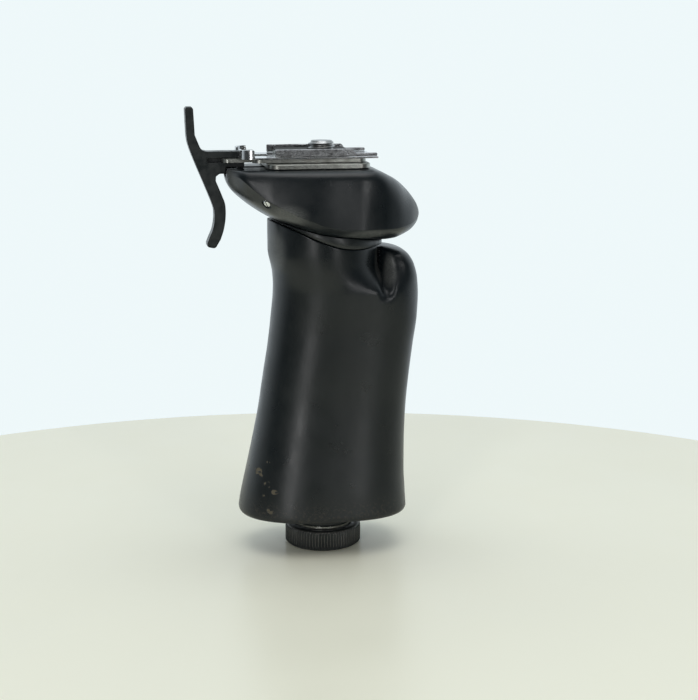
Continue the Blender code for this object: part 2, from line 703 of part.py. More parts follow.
def make_core():
    tube = [
        (TUBE_INNER, TUBE_BOTTOM), (TUBE_OUTER, TUBE_BOTTOM), (TUBE_OUTER, TUBE_TOP), (TUBE_INNER, TUBE_TOP)
    ]
    turned("core_tube", tube, "steel")
    bore = TUBE_OUTER + THIN_GAP
    low, high = NUT_BOTTOM, NUT_TOP
    nut = [(bore, low), (NUT_RADIUS, low), (NUT_RADIUS, high), (bore, high)]
    turned("tube_nut", nut, "steel", segments=6 * 4, smooth=False)
    low, high = NUT_BOTTOM - TUBE_WASHER_THICK - 0.1, NUT_BOTTOM - 0.1
    washer = [(bore, low), (POCKET_RADIUS - 0.3, low), (POCKET_RADIUS - 0.3, high), (bore, high)]
    turned("tube_washer", washer, "steel")
    ferrule = [
        (FERRULE_BORE, FERRULE_BOTTOM), (FERRULE_RADIUS - 0.5, FERRULE_BOTTOM),
        (FERRULE_RADIUS, FERRULE_BOTTOM + 0.5), (FERRULE_RADIUS, FERRULE_FLANGE_TOP),
        (FERRULE_STUB_RADIUS, FERRULE_FLANGE_TOP), (FERRULE_STUB_RADIUS, FERRULE_TOP),
        (FERRULE_CHAMBER, FERRULE_TOP), (FERRULE_CHAMBER, FERRULE_FLOOR_TOP),
        (FERRULE_BORE, FERRULE_FLOOR_TOP),
    ]
    turned("base_ferrule", ferrule, "black_metal")


def thread_radius(angle, z):
    phase = ((z - angle / (2 * math.pi) * SCREW_PITCH) / SCREW_PITCH) % 1.0
    flank = min(max(1.6 * (1 - 2 * abs(phase - 0.5)) - 0.3, 0.0), 1.0)
    return SCREW_MAJOR_RADIUS - SCREW_DEPTH * (1 - flank)


def make_drive_bolt():
    groove_low, groove_high = CLIP_BOTTOM - 0.1, CLIP_BOTTOM + CLIP_THICK + 0.1
    groove = CLIP_INNER - 0.1
    plain = [
        (BOLT_BOTTOM, BOLT_SHANK - 0.4), (BOLT_BOTTOM + 0.4, BOLT_SHANK), (KNOB_HEIGHT + 0.1, BOLT_SHANK),
        (KNOB_HEIGHT + 0.1, BOLT_LAND), (groove_low, BOLT_LAND), (groove_low, groove), (groove_high, groove),
        (groove_high, BOLT_LAND), (BOLT_LAND_TOP, BOLT_LAND), (BOLT_LAND_TOP + 0.8, BOLT_SHANK),
        (BOLT_TOP_LAND - 0.8, BOLT_SHANK), (BOLT_TOP_LAND, SCREW_MAJOR_RADIUS),
        (SCREW_START - 0.6, SCREW_MAJOR_RADIUS),
    ]
    segments = 20
    angles = [2 * math.pi * i / segments for i in range(segments)]
    rings = [[(r * math.cos(a), r * math.sin(a), z) for a in angles] for z, r in plain]
    rows = int((SCREW_TOP - 0.5 - SCREW_START) / (SCREW_PITCH / 4)) + 1
    for row in range(rows + 1):
        z = SCREW_START + (SCREW_TOP - 0.5 - SCREW_START) * row / rows
        rings.append(
            [(thread_radius(a, z) * math.cos(a), thread_radius(a, z) * math.sin(a), z) for a in angles]
        )
    end = SCREW_MAJOR_RADIUS - SCREW_DEPTH - 0.1
    rings.append([(end * math.cos(a), end * math.sin(a), SCREW_TOP) for a in angles])
    mesh_object("drive_bolt", *loft(rings), "chrome")


def make_clip_and_washer():
    high = CLIP_BOTTOM + CLIP_THICK
    clip = [(CLIP_INNER, CLIP_BOTTOM), (CLIP_OUTER, CLIP_BOTTOM), (CLIP_OUTER, high), (CLIP_INNER, high)]
    ring = turned("circlip", clip, "steel")
    combine(
        ring,
        block(
            "cut_clip_mouth", (CLIP_INNER - 1.5, CLIP_OUTER + 1), (-1.0, 1.0), (CLIP_BOTTOM - 1, high + 1)
        ),
    )
    low = KNOB_HEIGHT + 0.15
    high = low + WASHER_THICK
    washer = [(WASHER_INNER, low), (WASHER_OUTER, low), (WASHER_OUTER, high), (WASHER_INNER, high)]
    turned("thrust_washer", washer, "steel")


def make_knob():
    count = KNOB_TEETH * 2
    tip, root = KNOB_RADIUS, KNOB_RADIUS - KNURL_DEPTH
    shapes = (
        (0.0, root - KNOB_CHAMFER, root - KNOB_CHAMFER), (KNOB_CHAMFER, tip, root),
        (KNOB_HEIGHT - KNOB_CHAMFER, tip, root), (KNOB_HEIGHT, root - KNOB_CHAMFER, root - KNOB_CHAMFER),
    )
    rings = []
    for z, high, low in shapes:
        ring = []
        for i in range(count):
            angle = 2 * math.pi * i / count
            radius = high if i % 2 else low
            ring.append((radius * math.cos(angle), radius * math.sin(angle), z))
        rings.append(ring)
    knob = mesh_object("knob", *loft(rings), "black_metal")
    combine(knob, rod("cut_knob_socket", 0.0, 0.0, KNOB_SOCKET, KNOB_SOCKET_FLOOR, KNOB_HEIGHT + 2))
    hole_start = np.array((0.0, GRUB_INNER - 1.5, GRUB_HEIGHT))
    outward = (0.0, 1.0, 0.0)
    combine(knob, along_direction("cut_grub", hole_start, outward, GRUB_RADIUS + 0.15, KNOB_RADIUS, None))
    start = np.array((0.0, GRUB_INNER, GRUB_HEIGHT))
    grub = along_direction("knob_grub_screw", start, outward, GRUB_RADIUS, GRUB_OUTER - GRUB_INNER, "steel")
    slot = block(
        "cut_grub_slot", (-4.0, 4.0), (GRUB_OUTER - 0.8, GRUB_OUTER + 1),
        (GRUB_HEIGHT - 0.3, GRUB_HEIGHT + 0.3),
    )
    combine(grub, slot)


# ---- plate stack


def plate(name, size, kind, edge=0.25):
    outline = rounded_outline(size["x"], size["half_width"], size["round"])
    obj = extruded(name, outline, *size["z"], kind)
    if edge:
        bevelled(obj, edge)
    return obj


def drill(obj, bore, hole_radius, places=STACK_SCREW_PLACES):
    """The camera screw's hole and the stack screws' holes through a plate."""
    low, high = BASE_PLATE["z"][0] - 1, CAMERA_PAD["z"][1] + 1
    combine(obj, rod(f"cut_{obj.name}_bore", 0.0, 0.0, bore, low, high))
    if hole_radius:
        for number, (x, y) in enumerate(places, 1):
            combine(obj, rod(f"cut_{obj.name}_{number}", x, y, hole_radius, low, high, None, 16))
    return obj


def make_guide_plate():
    obj = plate("guide_plate", GUIDE_PLATE, "steel", 0.0)
    tongue = rounded_outline((TONGUE_FRONT, GUIDE_PLATE["x"][0] + 6.0), TONGUE_HALF_WIDTH, TONGUE_ROUND)
    combine(obj, extruded("add_tongue", tongue, *GUIDE_PLATE["z"], None), "UNION")
    slot_x, slot_y = (TONGUE_FRONT - 2, TONGUE_SLOT_REAR), (-TONGUE_SLOT_HALF_WIDTH, TONGUE_SLOT_HALF_WIDTH)
    combine(
        obj, block("cut_tongue_slot", slot_x, slot_y, (GUIDE_PLATE["z"][0] - 1, GUIDE_PLATE["z"][1] + 1))
    )
    drill(obj, PLATE_BORE, STACK_SCREW_SHANK + GAP)


def tray_outline(inset):
    """The tray's plan: rounded front corners and square rear ones."""
    half = TRAY_HALF_WIDTH - inset
    front, rear, radius = TRAY_X[0] + inset, TRAY_X[1], TRAY_CORNER - inset
    outline = [(rear, -half), (rear, half)]
    for start, sign in ((90.0, 1), (180.0, -1)):
        for i in range(6):
            angle = math.radians(start + 18.0 * i)
            outline.append(
                (
                    front + radius + radius * math.cos(angle),
                    sign * (half - radius) + radius * math.sin(angle),
                )
            )
    return outline


def make_coupling_tray():
    """Sheet tray with a raised lip round its front corners and a notch for the trigger's upper arm."""
    tray = extruded("coupling_tray", tray_outline(0.0), TRAY_FLOOR[0], TRAY_LIP_TOP, "chrome")
    inner = tray_outline(TRAY_WALL)
    inner[0], inner[1] = (TRAY_X[1] + 4, inner[0][1]), (TRAY_X[1] + 4, inner[1][1])
    combine(tray, extruded("cut_tray_inside", inner, TRAY_FLOOR[1], TRAY_LIP_TOP + 3, None))
    over = TRAY_HALF_WIDTH + 2
    lip_rear = TRAY_X[0] + TRAY_CORNER
    combine(
        tray,
        block("cut_tray_sides", (lip_rear, TRAY_X[1] + 2), (-over, over), (TRAY_FLOOR[1], TRAY_LIP_TOP + 2)),
    )
    notch = (-TRAY_NOTCH_HALF_WIDTH, TRAY_NOTCH_HALF_WIDTH)
    combine(
        tray,
        block(
            "cut_tray_notch", (TRAY_X[0] - 2, TRAY_NOTCH_REAR), notch, (TRAY_FLOOR[0] - 1, TRAY_LIP_TOP + 2)
        ),
    )
    drill(tray, PLATE_BORE, STACK_SCREW_SHANK + GAP)


def make_side_rails():
    front, step, rear = RAIL_X
    low, mid, high = RAIL_Z
    outline = [(front, low), (rear, low), (rear, mid), (step + 0.8, mid), (step, high), (front, high)]
    for name, side in (("near", -1), ("far", 1)):
        inner, outer = sorted((side * RAIL_Y[0], side * RAIL_Y[1]))
        bevelled(extruded(f"side_rail_{name}", outline, inner, outer, "chrome", axis="y"), 0.3, 1, 60.0)


def make_camera_plate():
    obj = plate("camera_plate", CAMERA_PLATE, "steel", 0.0)
    drill(obj, PLATE_BORE, STACK_SCREW_HEAD + GAP)
    pad = plate("camera_pad", CAMERA_PAD, "pad", 0.0)
    drill(pad, PLATE_BORE + 0.3, 0.0)


def make_stack_screws():
    top = CAMERA_PLATE["z"][1] - 0.1
    under_head = TRAY_FLOOR[1] + 0.1
    for number, (x, y) in enumerate(STACK_SCREW_PLACES, 1):
        levels = (
            (STACK_SCREW_TIP, 0.5), (STACK_SCREW_TIP + 1.6, STACK_SCREW_SHANK),
            (under_head, STACK_SCREW_SHANK),
            (under_head + 0.05, STACK_SCREW_HEAD - 0.4), (top - 0.3, STACK_SCREW_HEAD),
            (top, STACK_SCREW_HEAD),
        )
        angles = [2 * math.pi * i / 16 for i in range(16)]
        rings = [[(x + r * math.cos(a), y + r * math.sin(a), z) for a in angles] for z, r in levels]
        screw = mesh_object(f"stack_screw_{number}", *loft(rings), "steel")
        width, depth = STACK_SCREW_SLOT
        slot = block(
            f"cut_stack_slot_{number}", (x - 4, x + 4), (y - width / 2, y + width / 2),
            (top - depth, top + 1),
        )
        combine(screw, slot)


# ---- trigger


def spline(points, steps):
    """Points along a smooth curve through the given ones, the first and last included."""
    known = [np.array(p, float) for p in points]
    padded = [2 * known[0] - known[1], *known, 2 * known[-1] - known[-2]]
    result = []
    for i in range(1, len(padded) - 2):
        a, b, c, d = padded[i - 1 : i + 3]
        for step in range(steps):
            t = step / steps
            result.append(tuple(0.5 * (2 * b + (c - a) * t + (2 * a - 5 * b + 4 * c - d) * t**2
                                       + (3 * b - a - 3 * c + d) * t**3)))
    result.append(tuple(known[-1]))
    return result


def trigger_outline(steps):
    low, high = FORK_SLOT
    outline = spline(TRIGGER_FRONT, steps)
    outline += spline(TRIGGER_TIP, steps)
    outline += spline(TRIGGER_REAR, steps)
    outline += list(FORK_ROOT)
    outline += [
        (FORK_ROOT[-1][0] + 0.6, FORK_DEEP_BOTTOM), (FORK_DEEP_REAR, FORK_DEEP_BOTTOM),
        (FORK_DEEP_REAR, FORK_LOWER_BOTTOM), (FORK_LOWER_REAR, FORK_LOWER_BOTTOM), (FORK_LOWER_REAR, low),
        (FORK_SLOT_FRONT + 0.5, low), (FORK_SLOT_FRONT, low + 0.5), (FORK_SLOT_FRONT, high - 0.5),
        (FORK_SLOT_FRONT + 0.5, high), (FORK_UPPER_REAR, high), (FORK_UPPER_REAR, FORK_UPPER_TOP),
    ]
    return outline + list(FORK_SHOULDER) + list(TRIGGER_TOP)


def make_trigger():
    half = TRIGGER_HALF_WIDTH
    trigger = extruded("trigger", trigger_outline(2), -half, half, "black_metal", axis="y")
    web_y = (-WEB_HALF_WIDTH, WEB_HALF_WIDTH)
    combine(trigger, block("add_web", WEB_X, web_y, (FORK_SLOT[0] - 0.4, FORK_SLOT[1] + 0.4)), "UNION")
    lug = block("add_lug", LUG_X, (-LUG_HALF_WIDTH, LUG_HALF_WIDTH), (LUG_BOTTOM, FORK_SLOT[0] - 0.4))
    combine(trigger, lug, "UNION")


def make_trigger_spring():
    """A coil along X, behind the trigger's lug."""
    per_turn, around = 8, 5
    count = SPRING_TURNS * per_turn
    first, last = SPRING_X[0] + SPRING_WIRE, SPRING_X[1] - SPRING_WIRE
    rings = []
    for i in range(count + 1):
        angle = 2 * math.pi * i / per_turn
        radial = np.array((0.0, math.cos(angle), math.sin(angle)))
        centre = np.array((first + (last - first) * i / count, 0.0, SPRING_AXIS_Z)) + SPRING_RADIUS * radial
        ring = []
        for k in range(around):
            turn = 2 * math.pi * k / around
            ring.append(
                tuple(
                    centre + SPRING_WIRE * (radial * math.cos(turn) + np.array((1.0, 0, 0)) * math.sin(turn))
                )
            )
        rings.append(ring)
    mesh_object("trigger_spring", *loft(rings), "steel", smooth=True)


def main():
    clear_scene()
    make_handle()
    make_base_cap()
    make_head()
    make_cheek_screws()
    make_joint_ring()
    make_core()
    make_drive_bolt()
    make_clip_and_washer()
    make_knob()
    drill(plate("base_plate", BASE_PLATE, "steel"), PLATE_BORE + 1.0, STACK_SCREW_SHANK + GAP)
    make_guide_plate()
    make_coupling_tray()
    make_side_rails()
    make_camera_plate()
    make_stack_screws()
    make_trigger()
    make_trigger_spring()


main()
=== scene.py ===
import math

import bmesh
import bpy
import numpy as np
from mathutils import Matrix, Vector


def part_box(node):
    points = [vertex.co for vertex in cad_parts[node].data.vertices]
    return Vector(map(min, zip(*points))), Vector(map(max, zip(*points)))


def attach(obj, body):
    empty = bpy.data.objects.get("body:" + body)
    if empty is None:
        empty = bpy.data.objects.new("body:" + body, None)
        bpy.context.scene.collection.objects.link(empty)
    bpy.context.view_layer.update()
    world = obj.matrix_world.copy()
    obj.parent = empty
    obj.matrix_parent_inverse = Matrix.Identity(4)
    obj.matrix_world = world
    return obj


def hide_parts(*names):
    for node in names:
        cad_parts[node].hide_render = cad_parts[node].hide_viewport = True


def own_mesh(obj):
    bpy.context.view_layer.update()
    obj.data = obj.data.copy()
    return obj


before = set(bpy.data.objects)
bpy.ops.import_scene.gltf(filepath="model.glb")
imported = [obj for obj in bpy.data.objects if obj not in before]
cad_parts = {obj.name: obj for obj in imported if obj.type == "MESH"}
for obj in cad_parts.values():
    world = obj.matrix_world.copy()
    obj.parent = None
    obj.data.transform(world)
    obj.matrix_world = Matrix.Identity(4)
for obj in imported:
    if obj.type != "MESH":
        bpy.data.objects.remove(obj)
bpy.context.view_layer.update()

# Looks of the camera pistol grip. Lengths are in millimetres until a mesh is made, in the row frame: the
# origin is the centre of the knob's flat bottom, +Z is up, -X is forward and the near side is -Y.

MM = 0.001

# Handle: front edge, rear edge and half-width against height
HANDLE_FRONT = (
    (13.2, -31.9), (17.5, -31.3), (29.3, -28.8), (41.2, -26.2), (52.8, -23.9), (64.4, -22.1),
    (75.9, -20.2), (85.5, -19.0), (98.6, -17.9), (103.0, -18.2), (112.0, -19.8), (126.0, -19.6),
)
HANDLE_REAR = (
    (13.2, 30.9), (21.5, 30.4), (29.3, 30.0), (41.2, 30.1), (52.8, 30.6), (64.4, 31.7), (75.9, 33.1),
    (87.0, 34.6), (95.0, 34.9), (100.5, 34.5), (106.0, 33.1), (109.0, 31.4), (110.6, 29.6), (111.5, 27.0),
    (112.2, 23.0), (112.5, 19.0), (126.0, 19.0),
)
HANDLE_HALF_WIDTH = (
    (13.2, 21.6), (22.0, 21.0), (40.0, 19.2), (60.0, 18.1), (80.0, 18.2), (98.0, 19.3), (112.0, 20.1),
    (126.0, 20.1),
)
HANDLE_BOTTOM = 13.2
HANDLE_BOTTOM_ROUND = 2.2
HANDLE_SQUARENESS = 2.25
HANDLE_REAR_SQUARENESS = 2.9
NECK_REAR = 20.3
HORN_PARTS = (97.0, 107.0)
HORN_FRONT = 20.0
HORN_FULL_REAR = 34.9
HORN_HALF_WIDTH = 14.8
HORN_SQUARENESS = 2.8
CREASE_SOFTNESS = 2.0
GROOVE_X = 20.4
GROOVE_WIDTHS = (1.6, 2.2)
GROOVE_DEPTH = 3.8
GROOVE_DEEPENS = (93.5, 101.0)
RIM_FROM = 111.0
RIM_ROUND = 0.5
HORN_TOP = 112.6

# Head: top and bottom profile along X, and half-width
HEAD_TOP = (
    (-34.8, 139.9), (-34.5, 140.8), (-33.5, 141.2), (15.5, 141.2), (19.0, 140.2), (22.1, 138.7),
    (25.5, 136.9),
    (28.1, 135.0), (30.5, 132.7), (32.3, 130.5), (33.9, 128.2), (34.8, 126.3), (35.4, 124.4),
)
HEAD_BOTTOM = (
    (-34.8, 137.2), (-34.5, 136.1), (-33.8, 134.7), (-32.7, 133.1), (-30.9, 131.3), (-26.4, 127.7),
    (-20.0, 123.8),
    (-13.4, 121.0), (-8.4, 118.9), (-5.0, 117.7), (-1.9, 116.9), (2.4, 116.3), (8.0, 115.8), (15.0, 115.2),
    (20.5, 115.0), (24.5, 115.3), (27.3, 116.2), (31.0, 117.9), (33.5, 119.9), (34.7, 121.7), (35.4, 123.6),
)
HEAD_EDGE = (
    (-34.8, 139.0), (-33.0, 139.3), (-31.6, 139.0), (-30.1, 137.9), (-26.3, 134.6), (-21.5, 130.9),
    (-16.5, 128.2),
    (-11.1, 125.6), (-7.0, 124.0), (-2.8, 122.3), (0.7, 121.5), (4.2, 120.8), (15.0, 120.7), (22.0, 120.6),
    (30.0, 121.5), (35.4, 124.0),
)
HEAD_HALF_WIDTH = (
    (-34.8, 6.0), (-34.2, 9.6), (-33.0, 13.2), (-31.4, 16.0), (-29.0, 18.3), (-25.0, 20.3), (-20.0, 22.1),
    (-10.0, 24.2),
    (0.0, 25.0), (10.0, 24.8), (18.0, 23.0), (24.0, 20.0), (29.0, 15.8), (33.0, 10.0), (34.8, 5.2),
    (35.4, 2.0),
)
HEAD_TOP_SQUARENESS = (16.0, 2.6)
HEAD_ROUNDS_OFF = (6.0, 30.0)
HEAD_SIDE_TAPER = (0.12, 0.0)
FLANK_TILT = (1.1, 0.5)
FLANK_REACH = (0.8, 0.7)
FLANK_SOFTENS = (0.0, 24.0)

RING_CENTRE_X = 1.7
RING_GAP = 0.25
RING_THINNEST = 0.5
RING_RADIUS = 20.1
RING_INNER = 12.0
POCKET_RADIUS = 8.1
NOTCH_X = (-37.0, -31.2)
NOTCH_HALF_WIDTH = 3.4
NOTCH_FLOOR = 138.3
CHEEK_X = -22.5
CHEEK_Z = 129.9
CHEEK_RADIUS = 1.5
NECK_RIM = (
    (-22.0, 123.6), (-19.8, 122.9), (-16.0, 121.4), (-12.9, 120.2), (-8.2, 118.2), (-5.4, 116.9),
    (-1.2, 115.3),
    (3.3, 113.9), (7.9, 113.1), (11.4, 112.9), (14.3, 113.0), (20.3, 113.1), (22.0, 113.2),
)


def curve_at(table, value):
    """Smooth cubic through a table of (position, value), its slopes limited so as not to overshoot."""
    xs, ys = (np.array(column, float) for column in zip(*table))
    value = min(max(value, xs[0]), xs[-1])
    steps = np.diff(ys) / np.diff(xs)
    slopes = np.zeros(len(xs))
    slopes[0], slopes[-1] = steps[0], steps[-1]
    for i in range(1, len(xs) - 1):
        if steps[i - 1] * steps[i] > 0:
            slopes[i] = 2 / (1 / steps[i - 1] + 1 / steps[i])
    i = min(int(np.searchsorted(xs, value, side="right")) - 1, len(xs) - 2)
    width = xs[i + 1] - xs[i]
    t = (value - xs[i]) / width
    ends = (2 * t**3 - 3 * t**2 + 1) * ys[i] + (3 * t**2 - 2 * t**3) * ys[i + 1]
    return float(ends + width * ((t**3 - 2 * t**2 + t) * slopes[i] + (t**3 - t**2) * slopes[i + 1]))


def smooth_step(low, high, value):
    t = min(max((value - low) / (high - low), 0.0), 1.0)
    return t * t * (3 - 2 * t)


# ---- mesh tools


def piece(name, points, faces, material, body, nodes, slot, smooth=True):
    """A visible piece from points in millimetres, which rides on a CAD body and stands for CAD nodes."""
    mesh = bpy.data.meshes.new(name)
    mesh.from_pydata([tuple(c * MM for c in point) for point in points], [], faces)
    tidy_mesh(mesh, smooth)
    obj = bpy.data.objects.new(name, mesh)
    bpy.context.scene.collection.objects.link(obj)
    if material:
        mesh.materials.append(material)
    if body:
        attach(obj, body)
        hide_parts(*nodes)
    return obj


def tidy_mesh(mesh, smooth=True):
    work = bmesh.new()
    work.from_mesh(mesh)
    bmesh.ops.remove_doubles(work, verts=work.verts, dist=1e-7)
    bmesh.ops.recalc_face_normals(work, faces=work.faces)
    work.to_mesh(mesh)
    work.free()
    mesh.polygons.foreach_set("use_smooth", [smooth] * len(mesh.polygons))


def loft(rings, closed=True):
    """Points and faces of a surface through rings of equal length, with a flat face at each end."""
    count = len(rings[0])
    points = [point for ring in rings for point in ring]
    faces = []
    for row in range(len(rings) - 1):
        for i in range(count):
            j = (i + 1) % count
            low, high = row * count, (row + 1) * count
            faces.append((low + i, low + j, high + j, high + i))
    if closed:
        faces.append(tuple(range(count - 1, -1, -1)))
        faces.append(tuple(range(len(points) - count, len(points))))
    return points, faces


def turned(loops):
    """Points and faces of a ring-shaped solid from its closed loops, one after the other round its axis."""
    count = len(loops[0])
    points = [point for loop in loops for point in loop]
    faces = []
    for row in range(len(loops)):
        here, there = row * count, ((row + 1) % len(loops)) * count
        for i in range(count):
            j = (i + 1) % count
            faces.append((here + i, here + j, there + j, there + i))
    return points, faces


def revolve(profile, segments=96):
    """Points and faces of a closed loop of (radius, z) turned about the knob's axis."""
    angles = [2 * math.pi * i / segments for i in range(segments)]
    return turned([[(r * math.cos(a), r * math.sin(a), z) for r, z in profile] for a in angles])


def rectangle(x0, x1, half_width):
    """An outline from x0 to x1, the same distance to either side of the middle."""
    return [(x0, -half_width), (x1, -half_width), (x1, half_width), (x0, half_width)]


def softened(obj, width, segments=3, degrees=30.0):
    """Rounds an object's sharp edges and keeps smooth shading over the flats."""
    modifier = obj.modifiers.new("edge", "BEVEL")
    modifier.width = width * MM
    modifier.segments = segments
    modifier.limit_method = "ANGLE"
    modifier.angle_limit = math.radians(degrees)
    modifier.harden_normals = True
    return obj


def cut(obj, cutter, operation="DIFFERENCE"):
    modifier = obj.modifiers.new("cut", "BOOLEAN")
    modifier.operation = operation
    modifier.solver = "EXACT"
    modifier.object = cutter
    applied(obj)
    bpy.data.objects.remove(cutter)
    return obj


def applied(obj):
    """Replaces the object's mesh with the one its modifiers make."""
    bpy.context.view_layer.update()
    graph = bpy.context.evaluated_depsgraph_get()
    mesh = bpy.data.meshes.new_from_object(obj.evaluated_get(graph))
    obj.modifiers.clear()
    old, obj.data = obj.data, mesh
    bpy.data.meshes.remove(old)
    return obj


def prism(name, outline, low, high, axis="z"):
    """A loose helper solid from an outline, along z or along y."""
    if axis == "z":
        rings = [[(x, y, height) for x, y in outline] for height in (low, high)]
    else:
        rings = [[(x, depth, z) for x, z in outline] for depth in (low, high)]
    return piece(name, *loft(rings), None, None, (), None, smooth=False)


def rod(name, x, y, radius, low, high, segments=64):
    angles = [2 * math.pi * (i + 0.37) / segments for i in range(segments)]
    return prism(name, [(x + radius * math.cos(a), y + radius * math.sin(a)) for a in angles], low, high)


def wear_of(obj, reach=0.35):
    """Stores how convex the surface is at each point, 0 on flats and 1 on sharp edges."""
    work = bmesh.new()
    work.from_mesh(obj.data)
    work.verts.ensure_lookup_table()
    values = np.zeros(len(work.verts), np.float32)
    for vert in work.verts:
        pull = Vector()
        for edge in vert.link_edges:
            pull += (edge.other_vert(vert).co - vert.co).normalized()
        if vert.link_edges:
            values[vert.index] = max(0.0, -vert.normal.dot(pull / len(vert.link_edges))) / reach
    work.free()
    layer = obj.data.attributes.get("wear") or obj.data.attributes.new("wear", "FLOAT", "POINT")
    layer.data.foreach_set("value", np.clip(values, 0, 1))
    return obj


# ---- materials


class Finish:
    """A procedural material, built with short calls. Its patterns use the row frame in metres."""

    def __init__(self, name):
        self.material = bpy.data.materials.new(name)
        self.material.use_nodes = True
        self.tree = self.material.node_tree
        self.shader = self.tree.nodes["Principled BSDF"]
        self.place = self.add("ShaderNodeTexCoord").outputs["Object"]

    def add(self, kind, **settings):
        node = self.tree.nodes.new(kind)
        for key, value in settings.items():
            setattr(node, key, value)
        return node

    def plug(self, value, socket):
        if isinstance(value, bpy.types.NodeSocket):
            self.tree.links.new(value, socket)
        elif isinstance(value, tuple) and len(value) == 3 and len(socket.default_value) == 4:
            socket.default_value = (*value, 1.0)
        else:
            socket.default_value = value

    def stretched(self, scale, turn=(0.0, 0.0, 0.0)):
        node = self.add("ShaderNodeMapping")
        self.plug(self.place, node.inputs["Vector"])
        node.inputs["Rotation"].default_value = [math.radians(a) for a in turn]
        node.inputs["Scale"].default_value = scale
        return node.outputs["Vector"]

    def noise(self, scale, detail=4.0, roughness=0.55, vector=None):
        node = self.add("ShaderNodeTexNoise")
        self.plug(vector or self.place, node.inputs["Vector"])
        node.inputs["Scale"].default_value = scale
        node.inputs["Detail"].default_value = detail
        node.inputs["Roughness"].default_value = roughness
        return node.outputs["Fac"]

    def cells(self, scale, output="Distance"):
        node = self.add("ShaderNodeTexVoronoi")
        self.plug(self.place, node.inputs["Vector"])
        node.inputs["Scale"].default_value = scale
        return node.outputs[output]

    def math(self, operation, a, b=0.0, clamp=False):
        node = self.add("ShaderNodeMath", operation=operation, use_clamp=clamp)
        self.plug(a, node.inputs[0])
        self.plug(b, node.inputs[1])
        return node.outputs[0]

    def span(self, value, low, high, out_low=0.0, out_high=1.0):
        """Maps low..high to out_low..out_high, smoothly and clamped."""
        node = self.add("ShaderNodeMapRange", interpolation_type="SMOOTHSTEP")
        self.plug(value, node.inputs["Value"])
        limits = {"From Min": low, "From Max": high, "To Min": out_low, "To Max": out_high}
        for key, number in limits.items():
            self.plug(number, node.inputs[key])
        return node.outputs["Result"]

    def mix(self, factor, a, b):
        node = self.add("ShaderNodeMix", data_type="RGBA")
        self.plug(factor, node.inputs["Factor"])
        self.plug(a, node.inputs[6])
        self.plug(b, node.inputs[7])
        return node.outputs[2]

    def blot(self, centre, radii):
        """1 inside an ellipsoid at a place in millimetres, fading out to its edge."""
        node = self.add("ShaderNodeMapping")
        self.plug(self.place, node.inputs["Vector"])
        scale = [1 / (r * MM) for r in radii]
        node.inputs["Scale"].default_value = scale
        node.inputs["Location"].default_value = [-c * MM * s for c, s in zip(centre, scale)]
        length = self.add("ShaderNodeVectorMath", operation="LENGTH")
        self.plug(node.outputs["Vector"], length.inputs[0])
        return self.span(length.outputs["Value"], 1.0, 0.4)

    def height(self):
        """The point's height in metres."""
        node = self.add("ShaderNodeSeparateXYZ")
        self.plug(self.place, node.inputs["Vector"])
        return node.outputs["Z"]

    def wear(self):
        return self.add("ShaderNodeAttribute", attribute_name="wear").outputs["Fac"]

    def bump(self, height, strength, distance, normal=None):
        node = self.add("ShaderNodeBump")
        node.inputs["Strength"].default_value = strength
        node.inputs["Distance"].default_value = distance
        self.plug(height, node.inputs["Height"])
        if normal:
            self.plug(normal, node.inputs["Normal"])
        return node.outputs["Normal"]

    def done(self, colour, roughness, normal=None, metallic=0.0, **uniform):
        for value, name in ((colour, "Base Color"), (roughness, "Roughness"), (metallic, "Metallic")):
            self.plug(value, self.shader.inputs[name])
        if normal:
            self.plug(normal, self.shader.inputs["Normal"])
        for key, value in uniform.items():
            self.shader.inputs[key.replace("_", " ")].default_value = value
        return self.material


